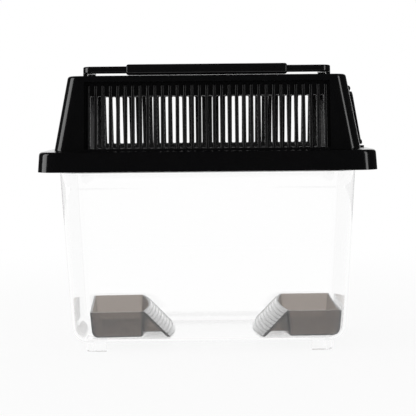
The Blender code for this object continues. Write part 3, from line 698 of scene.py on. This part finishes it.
class KEEPER_OT_lid(KeeperOperator):
    """Build the lid's skirt, ledge, hood and roof, with its windows and port"""
    bl_idname = "keeper.lid"
    bl_label = "Lid"

    def execute(self, context):
        keeper = context.scene.keeper
        at = places(keeper)
        black = moulded_black("Moulded black ABS", keeper.finish.lid, roughness=0.11)
        for name, form, nodes, edge in (("lid_hood", hood(keeper, at), ["lid_shell"], HOOD_EDGE),
                                        ("port_frame", port_frame(keeper, at), [], 0),
                                        ("hatch_ears", hatch_ears(keeper, at), [], EAR_EDGE),
                                        ("handle_ears", handle_ears(keeper, at), [], EAR_EDGE)):
            add_piece(name, mesh_of(name, form), black, "lid", nodes, edge)
        return {"FINISHED"}


def port_span(hatch):
    """Half width of the port, and its lower and upper edge up the slope of the wall."""
    low = hatch.axis - hatch.length + hatch.overlap + hatch.surround / 2
    return hatch.width / 2 - hatch.overlap - hatch.surround / 2, low, hatch.axis - hatch.top_drop


def window_span(grille):
    """Half width of the front window, and its lower and upper edge up the slope of the wall."""
    half = (grille.front - 1) * grille.front_pitch / 2 + grille.rib / 2 + grille.margin
    return half, grille.sill, grille.sill + grille.height + grille.margin


def hood(keeper, at):
    """The shell: one profile carried round a rounded rectangle, with a window in front and behind and a port.

    The profile climbs the skirt, crosses the ledge and climbs the hood. The
    inside is the same profile moved in by the wall along its normals. The
    corners widen a little at the hood's root, and draw in where the roof's
    flat starts, a few millimetres in from its edge.
    """
    root_spread, flat_start, flat_corner = 0.0005, 0.004, 0.0035
    above_window, least_corner = 0.0003, 0.0005
    corner_steps = 12
    lid = keeper.lid
    lean = lid.lean
    half_window, window_low, window_high = window_span(keeper.grille)
    half_port, port_low, port_high = port_span(keeper.hatch)
    hood_out = -lid.ledge
    top = lid.height / cos(lean)

    def up(distance):
        """A point of the hood's wall: (distance out of the skirt, corner radius, height over the ledge)."""
        return hood_out - distance * sin(lean), lid.corner, distance * cos(lean)

    corner = at.skirt_corner
    ends = [(lid.flare, corner, -lid.skirt), (0, corner, 0), (hood_out, lid.corner + root_spread, 0),
            up(0.5 * (window_low + port_low))]
    lower = eased(ends, [lid.skirt_round, lid.root_round], steps=8)
    middle = np.array([up(distance) for distance in (port_low, port_high, window_high)])
    roof = eased([up(window_high + above_window), up(top),
                  (up(top)[0] - flat_start, lid.corner - flat_corner, lid.height)], lid.roof_round, steps=8)
    # The window's sill comes between the root's fillet and the next row
    sill = np.array([up(window_low)])
    rows = np.concatenate([lower[:-1], sill, lower[-1:], middle, roof])
    normal = outward(rows[:, [0, 2]])
    # Front and back sides have a column at each window edge, the right side at each port edge
    fan = np.linspace(-half_window, half_window, 5)
    port = (-half_port, 0, half_port)
    columns = perimeter((fan, port, fan, (0,)), steps=corner_steps)
    front = walls(columns, at.skirt_x + rows[:, 0], at.skirt_y + rows[:, 0], rows[:, 1], at.ledge + rows[:, 2])
    inner = rows[:, [0, 2]] - lid.wall * normal
    back = walls(columns, at.skirt_x + inner[:, 0], at.skirt_y + inner[:, 0],
                 np.maximum(rows[:, 1] - lid.wall * normal[:, 0], least_corner), at.ledge + inner[:, 1])
    keep = np.ones((len(rows) - 1, len(columns)), bool)
    sill_row = len(lower) - 1
    low_row, high_row, top_row = sill_row + 2, sill_row + 3, sill_row + 4
    port_start = len(fan) + corner_steps + 1
    for start in (0, port_start + len(port) + corner_steps + 1):
        keep[sill_row:top_row, start:start + len(fan) - 1] = False
    keep[low_row:high_row, port_start:port_start + len(port) - 1] = False
    return pierced(front, back, keep, round_cols=True, capped=True)


def wall_axes(keeper, at, side):
    """Origin and (along, up the slope, out) axes of the front, rear or right wall of the hood."""
    lean = keeper.lid.lean
    out = {"front": (0, -1), "rear": (0, 1), "right": (1, 0)}[side]
    half = at.hood_x if side == "right" else at.hood_y
    return ((out[0] * half, out[1] * half, at.ledge), (-out[1], out[0], 0),
            (-out[0] * sin(lean), -out[1] * sin(lean), cos(lean)),
            (out[0] * cos(lean), out[1] * cos(lean), sin(lean)))


def port_frame(keeper, at):
    """The raised frame: a rounded profile carried round the port, rooted halfway into the wall."""
    edge = 0.0004
    hatch, lid = keeper.hatch, keeper.lid
    half, low, high = port_span(hatch)
    profile = walls(perimeter(steps=4), hatch.surround / 2, (hatch.surround_height + lid.wall / 2) / 2, edge,
                    0)[0, :, :2]
    middle = (hatch.surround_height - lid.wall / 2) / 2
    grown = profile[:, 0] + hatch.surround / 2
    rings = walls(perimeter(steps=8), half + grown, (high - low) / 2 + grown, hatch.port_corner + grown,
                  middle + profile[:, 1])
    rings[..., 1] += (high + low) / 2
    return looped(placed(rings, *wall_axes(keeper, at, "right")))


def hatch_ears(keeper, at):
    """Two hinge ears on the right wall, and the stop on the ledge under the flap."""
    edge = 0.0003
    hatch = keeper.hatch
    axes = wall_axes(keeper, at, "right")
    inner = hatch.knuckle / 2 + SEAT_GAP
    root = -keeper.lid.wall / 2
    ear = np.concatenate([arc((hatch.ear, hatch.axis), hatch.ear, -pi / 2, pi / 2, 10),
                          [(root, hatch.axis + hatch.ear), (root, hatch.axis - hatch.ear)]])
    forms = []
    for side in (-1, 1):
        rings = drawn(ear, side * inner, side * (inner + hatch.ear_width))
        forms.append(loft(placed(rings[..., [2, 1, 0]], *axes)))
    x = at.skirt_x - hatch.stop_inset - hatch.stop_depth / 2
    low, high = -keeper.lid.wall / 2, hatch.stop_height
    stop = block(hatch.stop_depth / 2, (high - low) / 2, edge, -hatch.stop_width / 2, hatch.stop_width / 2, edge)
    forms.append(loft(placed(stop[..., [0, 2, 1]], (x, 0, at.ledge + (high + low) / 2), (1, 0, 0), (0, 1, 0),
                             (0, 0, 1))))
    return together(*forms)


def handle_ears(keeper, at):
    """Two ears on the roof with a round top, and a fillet at the foot of each.

    A fillet is a little narrower than its ear and reaches a little into it.
    """
    fillet_half, into = keeper.handle.ear * 0.8, 0.0005
    handle, lid = keeper.handle, keeper.lid
    inner = handle.length / 2 + SEAT_GAP
    outer = inner + handle.ear_width
    root, roof = at.roof - lid.wall / 2 - at.pivot, at.roof - at.pivot
    ear = np.concatenate([arc((0, 0), handle.ear, 0, pi, 16), [(-handle.ear, root), (handle.ear, root)]])
    bend = arc((outer + handle.flare, roof + handle.flare), handle.flare, -pi / 2, -pi, 5)
    flare = np.concatenate([bend, [(outer - into, roof + handle.flare), (outer - into, root),
                                   (outer + handle.flare, root)]])
    forms = []
    for side in (-1, 1):
        rings = drawn(ear, side * inner, side * outer)
        forms.append(loft(placed(rings, (0, 0, at.pivot), (0, 1, 0), (0, 0, 1), (1, 0, 0))))
        rings = drawn(flare * [side, 1], -fillet_half, fillet_half)
        forms.append(loft(placed(rings, (0, 0, at.pivot), (1, 0, 0), (0, 0, 1), (0, 1, 0))))
    return together(*forms)


class KEEPER_OT_grilles(KeeperOperator):
    """Build the ribbed grilles behind the lid's two windows"""
    bl_idname = "keeper.grilles"
    bl_label = "Grilles"

    def execute(self, context):
        keeper = context.scene.keeper
        at, grille = places(keeper), keeper.grille
        # The rear grille's copy reflects less, as painted shade for the inside of the hood
        for side, count, pitch, rise, gloss_and_painted_shade in (
                ("front", grille.front, grille.front_pitch, grille.slot_rise, 0.35),
                ("rear", grille.rear, grille.rear_pitch, grille.rear_rise, 0.1)):
            name = f"grille_{side}"
            black = satin_black(f"Satin black ABS {side}", keeper.finish.grille, gloss_and_painted_shade)
            add_piece(name, mesh_of(name, ribbed_panel(keeper, at, side, count, pitch, rise)), black, "lid",
                      [f"{side}_grille"])
        return {"FINISHED"}


def ribbed_panel(keeper, at, side, count, pitch, rise):
    """A panel whose front is a height field of ribs, with an open slot between each two.

    Height is the rib's half circle across times its share of relief along: 1
    on its length and a quarter circle at its top end, while its foot ends flat.
    Near a slot's ends its two edges draw in round a quarter circle.
    """
    beside_rib, foot_step = 0.00003, 0.00005
    grille, lid = keeper.grille, keeper.lid
    half_window, low, high = window_span(grille)
    lap = half_window + grille.lap
    across = -np.cos(np.linspace(0, pi, 11))
    slot_edge = (pitch - grille.rib) / 2 - beside_rib
    centres = (np.arange(count) - (count - 1) / 2) * pitch
    # Columns of one pitch: the rib, then the slot's two edges, measured from the rib's middle
    pitch_x = np.append(across * grille.rib / 2, [pitch / 2 - slot_edge, pitch / 2 + slot_edge])
    round_x = np.append(np.sqrt(np.maximum(1 - across ** 2, 0)), [0, 0])
    pull = np.append(np.zeros(len(across)), [1, -1])
    per_pitch = len(pitch_x)
    x = (centres[:, None] + pitch_x).ravel()[:-2]
    round_x, pull = np.tile(round_x, count)[:-2], np.tile(pull, count)[:-2]
    x, round_x, pull = (np.pad(a, 1) for a in (x, round_x, pull))
    x[0], x[-1] = -lap, lap
    # Rows: the panel's edge, the ribs' feet, the slots' round ends, the ribs' round tops and the panel's edge
    turn = np.linspace(0, pi / 2, 5)
    turns = len(turn)
    end = grille.slot_round * (1 - np.cos(turn))
    slot_low = low + rise
    slot_top = slot_low + grille.slot
    rib_top = low + grille.height
    tops = rib_top - grille.relief * (1 - np.sin(turn))
    feet = [low - grille.lap, low - foot_step, low]
    z = np.concatenate([feet, slot_low + end, (slot_top - end)[::-1], tops, [high + grille.lap]])
    share = np.concatenate([[0, 0], np.ones(1 + 2 * turns), np.cos(turn), [0]])
    closing = grille.slot_round * (1 - np.sin(turn))
    drawn_in = np.concatenate([np.zeros(len(feet)), closing, closing[::-1], np.zeros(turns + 1)])
    along = x + pull * drawn_in[:, None]
    face = -(lid.wall + SEAT_GAP)
    out = face + grille.relief * round_x * share[:, None]
    level = np.broadcast_to(z[:, None], along.shape)
    axes = wall_axes(keeper, at, side)
    front = placed(np.stack([along, level, out], axis=-1), *axes)
    back = placed(np.stack([along, level, np.full_like(along, face - grille.panel)], axis=-1), *axes)
    keep = np.ones((len(z) - 1, len(x) - 1), bool)
    slots = 1 + len(across) + np.arange(count - 1) * per_pitch
    keep[len(feet):len(feet) + 2 * turns - 1, slots] = False
    return pierced(front, back, keep)


class KEEPER_OT_hatch(KeeperOperator):
    """Build the flap hatch with its knuckle, pins and lifting lip"""
    bl_idname = "keeper.hatch"
    bl_label = "Hatch"

    def execute(self, context):
        keeper = context.scene.keeper
        black = moulded_black("Moulded black ABS flap", keeper.finish.hatch, roughness=0.14)
        add_piece("hatch_flap", mesh_of("hatch_flap", flap(keeper, places(keeper))), black, "hatch",
                  ["hatch"])
        return {"FINISHED"}


def flap(keeper, at):
    """A rounded plate, a rounded lip along its foot, and a knuckle and two pins on the hinge's axis.

    The knuckle's neck goes down into the plate, a little inside its two faces.
    """
    edge, lip_edge, into, inside = 0.0004, 0.0006, 0.001, 0.0003
    hatch = keeper.hatch
    axes = wall_axes(keeper, at, "right")
    shoulder = hatch.axis - hatch.ear - SEAT_GAP
    foot = hatch.axis - hatch.length
    face = hatch.surround_height + SEAT_GAP
    plate = block(hatch.width / 2, (shoulder - foot) / 2, hatch.corner, face, face + hatch.thickness, edge,
                  steps=8)
    plate[..., 1] += (shoulder + foot) / 2
    deep = (hatch.thickness / 2 + hatch.lip_depth) / 2
    lip = block(hatch.lip / 2, deep, lip_edge, hatch.corner - hatch.width / 2, hatch.width / 2 - hatch.corner, edge)
    lip = lip[..., [2, 0, 1]] + [0, foot + hatch.lip / 2, face + hatch.thickness / 2 + deep]
    knuckle_axis = [0, hatch.axis, hatch.ear]
    neck = np.concatenate([arc((hatch.axis, hatch.ear), hatch.knuckle_radius, -pi / 4, pi / 2, 8),
                           arc((hatch.axis, hatch.ear), hatch.knuckle_radius, pi / 2, pi, 4),
                           [(shoulder - into, face + inside), (shoulder - into, face + hatch.thickness - inside)]])
    half = hatch.knuckle / 2
    barrel = drawn(neck, -half, half)[..., [2, 0, 1]]
    reach = half + hatch.ear_width
    pin = spindle(hatch.pin, -reach, reach, PIN_EDGE, steps=16)[..., [2, 0, 1]] + knuckle_axis
    return together(*(loft(placed(part, *axes)) for part in (plate, lip, barrel, pin)))


class KEEPER_OT_handle(KeeperOperator):
    """Build the folding handle: bail, grip, eyes and pins"""
    bl_idname = "keeper.handle"
    bl_label = "Handle"

    def execute(self, context):
        keeper = context.scene.keeper
        black = moulded_black("Moulded black ABS handle", keeper.finish.handle, roughness=0.12)
        add_piece("handle_bail", mesh_of("handle_bail", bail(keeper.handle, places(keeper))), black, "handle",
                  ["handle"])
        return {"FINISHED"}


def bail(handle, at):
    """A rounded section carried from one pivot round two corners to the other, with a thicker grip.

    The section's half width runs from the arm's to the bar's round each
    corner. A point is the path's point plus its two offsets along the path's
    side and up.
    """
    eye_edge = 0.0004
    arm_x = (handle.length - handle.arm) / 2
    bend = handle.corner - handle.arm / 2
    turn = np.linspace(0, pi / 2, 11)
    share = turn / (pi / 2)
    right = np.stack([arm_x - bend + bend * np.cos(turn), -handle.reach + bend - bend * np.sin(turn)], axis=1)
    path = np.concatenate([[(arm_x, 0)], right, (right * [-1, 1])[::-1], [(-arm_x, 0)]])
    tangent = np.concatenate([[(0, -1)], np.stack([-np.sin(turn), -np.cos(turn)], axis=1),
                              np.stack([-np.cos(turn), np.sin(turn)], axis=1), [(0, 1)]])
    half = np.concatenate([[0], share, share[::-1], [0]])
    half = handle.arm / 2 + (handle.bar_depth - handle.arm) / 2 * (3 * half ** 2 - 2 * half ** 3)
    section = walls(perimeter(steps=4), half, handle.bar_height / 2, handle.bar_round, 0)[..., :2]
    side = np.stack([-tangent[:, 1], tangent[:, 0]], axis=1)[:, None, :]
    rings = np.concatenate([path[:, None, :] + section[..., :1] * side, at.pivot + section[..., 1:]], axis=-1)
    grip = block(handle.grip_depth / 2, handle.grip_height / 2, handle.grip_round, -handle.grip / 2, handle.grip / 2,
                 handle.grip_end, steps=6)
    grip = placed(grip, (0, -handle.reach, at.pivot), (0, 1, 0), (0, 0, 1), (1, 0, 0))
    inner = handle.length / 2 - handle.arm
    forms = [loft(rings), loft(grip)]
    for mirror in (-1, 1):
        eye = spindle(handle.grip_height / 2, inner, handle.length / 2, eye_edge, steps=40)
        pin = spindle(handle.pin, inner + handle.arm / 2, handle.length / 2 + handle.ear_width, PIN_EDGE, steps=20)
        forms += [loft(placed(part, (0, 0, at.pivot), (0, 1, 0), (0, 0, 1), (mirror, 0, 0))) for part in (eye, pin)]
    return together(*forms)


class KEEPER_OT_dishes(KeeperOperator):
    """Build the two smoked dishes with their ramps"""
    bl_idname = "keeper.dishes"
    bl_label = "Dishes"

    def execute(self, context):
        keeper = context.scene.keeper
        dish, at = keeper.dish, places(keeper)
        smoke = smoked_plastic("Smoked polystyrene", keeper.finish, coat_and_painted_sheen=0)
        # The tread's copy of the smoked plastic paints a pale sheen on the ramp's top
        tread = smoked_plastic("Smoked polystyrene tread", keeper.finish, coat_and_painted_sheen=1)
        reach = keeper.tank.length / 2 - keeper.tank.wall - dish.length / 2
        for name, x, turn in (("dish_left", dish.left_gap - reach, dish.left_turn),
                              ("dish_right", reach - dish.right_gap, dish.right_turn)):
            mesh = united(f"{name}_cup", cup(dish), ramp(dish), web(dish, -1), web(dish, 1))
            on_ramp = treads(mesh, dish)
            mesh.transform(Matrix.Translation((x, 0, at.floor + SEAT_GAP)) @ Matrix.Rotation(turn, 4, "Z"))
            add_piece(f"{name}_cup", mesh, smoke, name, [name])
            mesh.materials.append(tread)
            mesh.polygons.foreach_set("material_index", on_ramp)
        return {"FINISHED"}


def treads(mesh, dish):
    """1 for each face of the ramp's top: those that face up and out, beyond the bowed end."""
    # These faces take the tread's copy, with its painted sheen
    facing = 0.3
    normal, centre = (np.empty(3 * len(mesh.polygons), np.float32) for _ in range(2))
    mesh.polygons.foreach_get("normal", normal)
    mesh.polygons.foreach_get("center", centre)
    normal, centre = normal.reshape(-1, 3), centre.reshape(-1, 3)
    radius, middle = bow(dish)
    beyond = np.hypot(centre[:, 0] - middle, centre[:, 1]) > radius
    return ((normal[:, 2] > facing) & (normal[:, 0] > facing) & beyond).astype(np.int32)


def bow(dish):
    """Radius of the bowed end's plan, and its centre along the dish."""
    radius = ((dish.depth / 2) ** 2 + dish.bow ** 2) / (2 * dish.bow)
    return radius, dish.length / 2 + dish.bow - radius


def cup_plan(dish, inset, end_inset):
    """Plan of the cup at each row of insets: a wide arc at the ramp end, two round corners, and a square end.

    Each stretch is an arc whose radius and centre depend on the row's inset,
    and whose angle runs along the columns.
    """
    least_corner = 0.0004
    inset, end_inset = inset[:, None], end_inset[:, None]
    radius, centre = bow(dish)
    radius = radius - inset
    half = dish.depth / 2 - inset
    corner = np.maximum(dish.bow_corner - inset, least_corner)
    corner_y = half - corner
    corner_x = centre + np.sqrt((radius - corner) ** 2 - corner_y ** 2)
    turn = np.arcsin(corner_y / (radius - corner))
    end = np.maximum(dish.corner - inset, least_corner)
    end_x = end_inset - dish.length / 2 + end
    t = np.linspace(0, 1, 7)
    stretches = [(centre, 0, radius, -turn, turn, np.linspace(0, 1, 29)),
                 (corner_x, corner_y, corner, turn, pi / 2, t[1:]),
                 (end_x, half - end, end, pi / 2, pi, t), (end_x, end - half, end, pi, pi * 3 / 2, t),
                 (corner_x, -corner_y, corner, -pi / 2, -turn, t[:-1])]
    points = []
    for cx, cy, size, start, stop, share in stretches:
        angle = start + (stop - start) * share
        points.append(np.stack(np.broadcast_arrays(cx + size * np.cos(angle), cy + size * np.sin(angle)), axis=-1))
    return np.concatenate(points, axis=1)


def cup(dish):
    """The cup: rows up the outside, over the rim and down the inside, drawn in at the bottom by a quarter circle."""
    lip = 0.00018

    def drawn_in(height, radius):
        """How far the bottom's quarter circle draws in: radius - root of (radius squared - below squared)."""
        below = np.maximum(radius - height, 0)
        return radius - np.sqrt(radius ** 2 - below ** 2)

    def rows(height, z, wall):
        """Rows of the plan at heights z, moved in by wall; height is measured from that side's own bottom."""
        inset = wall + dish.draft * (1 - z / dish.height)
        return raised(cup_plan(dish, inset + drawn_in(height, dish.bottom - wall),
                               inset + drawn_in(height, dish.end - wall)), z)

    turn = np.linspace(0, pi / 2, 9)
    outside = np.append(dish.end * (1 - np.cos(turn)), dish.height - lip)
    inside = (dish.end - dish.wall) * (1 - np.cos(turn[::-1]))
    inner_lip = np.array([dish.height - dish.wall - lip])
    top = np.array([dish.height])
    return loft(np.concatenate([
        rows(outside, outside, 0), rows(top, top, lip), rows(top, top, dish.wall - lip),
        rows(inner_lip, inner_lip + dish.wall, dish.wall), rows(inside, inside + dish.wall, dish.wall)]))


def along_bow(dish, profile, stations):
    """A (distance from the bowed end, height) profile carried across the dish, following the bow."""
    radius, centre = bow(dish)
    y = stations[:, None]
    x = centre + np.sqrt(radius ** 2 - y ** 2) + profile[:, 0]
    return loft(np.stack(np.broadcast_arrays(x, y, profile[:, 1]), axis=-1))


def ramp(dish):
    """The ramp: a plate that falls to the floor, with low round ridges across its top.

    The plate's top falls evenly with distance, plus the tread height times a
    bump that is 1 in the middle of each tread and 0 between treads. A bump is
    a cosine, steepened and cut off at 0 and 1, and moves its points out and up.
    The plate's two ends stay plain.
    """
    steep, cut, plain, out_and_up = 2.2, 0.9, 0.04, 0.7
    fall = dish.height / dish.run
    run = (dish.height - dish.toe) / fall
    share = np.linspace(0, 1, 12 * (dish.treads + 1) + 1)
    phase = share * (dish.treads + 1) % 1
    ridge = np.clip(np.cos((phase - np.round(phase)) * 2 * pi) * steep - cut, 0, 1)
    ridge = ridge * (share > plain) * (share < 1 - plain)
    top = np.stack([share * run, dish.height - share * run * fall], axis=1)
    top += np.outer(ridge * dish.tread, [out_and_up, out_and_up])
    drop = dish.ramp * np.hypot(1, fall)
    root = -dish.wall / 2
    under = [(run, 0), ((dish.height - drop) / fall, 0), (root, dish.height - drop - root * fall)]
    profile = np.concatenate([[(root, dish.height)], top, under])
    edge = dish.depth / 2 - dish.ramp_inset
    return along_bow(dish, profile, np.linspace(-edge, edge, 29))


def web(dish, side):
    """A triangular web under one edge of the ramp, rooted in the cup's drawn-in wall."""
    drawn_in = 0.8
    fall = dish.height / dish.run
    middle = dish.ramp * np.hypot(1, fall) / 2
    root = -dish.wall / 2
    profile = np.array([(root - dish.draft * drawn_in, dish.web_foot),
                        ((dish.height - middle - dish.web_foot) / fall, dish.web_foot),
                        (root, dish.height - middle - root * fall - dish.wall)])
    outer = dish.depth / 2 - dish.ramp_inset - dish.web_inset
    return along_bow(dish, profile, side * np.array([outer, outer - dish.web]))


# Stage

class KEEPER_OT_stage(KeeperOperator):
    """Build the floor, the backdrop, the studio light and the camera"""
    bl_idname = "keeper.stage"
    bl_label = "Stage"

    def execute(self, context):
        finish = context.scene.keeper.finish
        floor_disc(finish.floor)
        backdrop(finish.floor)
        # A wide soft box on the left, and a narrow one on the right
        soft_box("left_soft_box", azimuth=-171.5, distance=1.05, height=0.34, size=(0.54, 1.1), luminance=3.2)
        soft_box("right_soft_box", azimuth=-34.75, distance=1.1, height=0.36, size=(0.22, 1.0), luminance=3.4)
        studio_air(context.scene)
        camera(context.scene)
        context.scene.view_settings.view_transform = "Standard"
        return {"FINISHED"}


def soft_box(name, azimuth, distance, height, size, luminance):
    """An area lamp that faces the keeper from an azimuth in degrees; its power gives it a luminance."""
    lamp = bpy.data.lights.new(name, "AREA")
    lamp.shape = "RECTANGLE"
    lamp.size, lamp.size_y = size
    lamp.energy = luminance * pi * size[0] * size[1]
    item = new_object(name, lamp)
    angle = radians(azimuth)
    item.location = (distance * cos(angle), distance * sin(angle), height)
    aim = -item.location
    aim.z = 0
    item.rotation_euler = aim.to_track_quat("-Z", "Y").to_euler()
    item.visible_camera = False
    item.visible_transmission = False


def stage_piece(name, form, material):
    """A piece that isn't part of the keeper."""
    item = new_object(name, mesh_of(name, form))
    item.data.materials.append(material)
    return item


def floor_disc(tint):
    """A thin round slab under the feet.

    Painted white card, lit evenly: most of its white is its own, so it stays
    level, and a part takes the keeper's shadow. That part fades out on the way
    from the keeper to the rim.
    """
    radius, thickness, under_feet = 0.6, 0.01, 0.0001
    material, tree = new_material("White floor card")
    place = add_node(tree, "ShaderNodeTexCoord").outputs["Object"]
    away = add_node(tree, "ShaderNodeVectorMath", {0: place}, operation="LENGTH")
    share = add_node(tree, "ShaderNodeMapRange", {"Value": away.outputs["Value"], "From Min": 0.12, "From Max": 0.5,
                                                  "To Min": 0.1, "To Max": 0.0}, interpolation_type="SMOOTHSTEP")
    glow = add_node(tree, "ShaderNodeEmission", {"Color": rgba(tint), "Strength": 1.0})
    paint = add_node(tree, "ShaderNodeBsdfDiffuse", {"Color": rgba(tint, 0.92)})
    mix = add_node(tree, "ShaderNodeMixShader", {0: share.outputs["Result"], 1: glow.outputs["Emission"],
                                                 2: paint.outputs["BSDF"]})
    add_node(tree, "ShaderNodeOutputMaterial", {"Surface": mix.outputs["Shader"]})
    turn = np.linspace(0, 2 * pi, 96, endpoint=False)
    disc = radius * np.stack([np.cos(turn), np.sin(turn)], axis=1)
    stage_piece("floor", loft(drawn(disc, -thickness, -under_feet)), material)


def backdrop(tint):
    """A white sheet bent round behind the keeper, for its polished faces to reflect."""
    near, far, foot, top = 1.8, 1.81, -0.3, 0.95
    material, tree = new_material("White backdrop paper")
    glow = add_node(tree, "ShaderNodeEmission", {"Color": rgba(tint), "Strength": 1.0})
    add_node(tree, "ShaderNodeOutputMaterial", {"Surface": glow.outputs["Emission"]})
    turn = np.radians(np.linspace(62, 118, 25))
    line = np.stack([np.cos(turn), np.sin(turn)], axis=1)
    outline = np.concatenate([near * line, far * line[::-1]])
    item = stage_piece("backdrop", loft(drawn(outline, foot, top)), material)
    item.visible_shadow = False
    item.visible_diffuse = False
    item.visible_camera = False
    item.visible_transmission = False


def studio_air(scene):
    """The room: white to the eye and through clear plastic, dim as a lamp, and nearly black in reflections."""
    lit, mirrored = 0.6, 0.04
    world = bpy.data.worlds.new("Studio")
    scene.world = world
    world.use_nodes = True
    tree = world.node_tree
    tree.nodes.clear()
    rays = add_node(tree, "ShaderNodeLightPath")
    # Seen through a clear wall the room stays white, also where the wall's far face throws the light back
    seen = add_node(tree, "ShaderNodeMath", {0: rays.outputs["Is Camera Ray"], 1: rays.outputs["Transmission Depth"]},
                    operation="ADD", use_clamp=True)
    lamp = add_node(tree, "ShaderNodeMath", {0: rays.outputs["Is Glossy Ray"], 1: mirrored - lit, 2: lit},
                    operation="MULTIPLY_ADD")
    level = add_node(tree, "ShaderNodeMix", {"Factor": seen.outputs["Value"], "A": lamp.outputs["Value"], "B": 1.0},
                     data_type="FLOAT")
    air = add_node(tree, "ShaderNodeBackground", {"Color": rgba(WHITE), "Strength": level.outputs["Result"]})
    add_node(tree, "ShaderNodeOutputWorld", {"Surface": air.outputs["Background"]})


def camera(scene):
    """The photograph's camera: its focal length and its square image are given in pixels."""
    focal, image, film = 1172.8, 416, 36
    distance, height, down, roll = 0.688, 0.135, 4.7, -0.55
    data = bpy.data.cameras.new("camera")
    data.sensor_width = film
    data.lens = focal / image * film
    item = new_object("camera", data)
    item.location = (0, -distance, height)
    turn = Matrix.Rotation(radians(90 - down), 3, "X") @ Matrix.Rotation(radians(roll), 3, "Z")
    item.rotation_euler = turn.to_euler()
    scene.camera = item


# Add-on

OPERATORS = (KEEPER_OT_tank, KEEPER_OT_lid, KEEPER_OT_grilles, KEEPER_OT_hatch, KEEPER_OT_handle, KEEPER_OT_dishes,
             KEEPER_OT_stage)
GROUPS = (TankSizes, LidSizes, GrilleSizes, HatchSizes, HandleSizes, DishSizes, Finishes, Keeper)


class KEEPER_PT_pieces(bpy.types.Panel):
    """The keeper's pieces and their settings"""
    bl_idname = "KEEPER_PT_pieces"
    bl_label = "Cricket Keeper"
    bl_space_type = "VIEW_3D"
    bl_region_type = "UI"
    bl_category = "Keeper"

    def draw(self, context):
        for operator in OPERATORS:
            self.layout.operator(operator.bl_idname)


def register():
    for item in (*GROUPS, *OPERATORS, KEEPER_PT_pieces):
        bpy.utils.register_class(item)
    bpy.types.Scene.keeper = PointerProperty(type=Keeper)


def unregister():
    del bpy.types.Scene.keeper
    for item in reversed((*GROUPS, *OPERATORS, KEEPER_PT_pieces)):
        bpy.utils.unregister_class(item)


def main():
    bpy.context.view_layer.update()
    register()
    for operator in OPERATORS:
        group, name = operator.bl_idname.split(".")
        getattr(getattr(bpy.ops, group), name)()
    bpy.context.view_layer.update()


if __name__ == "__main__":
    main()
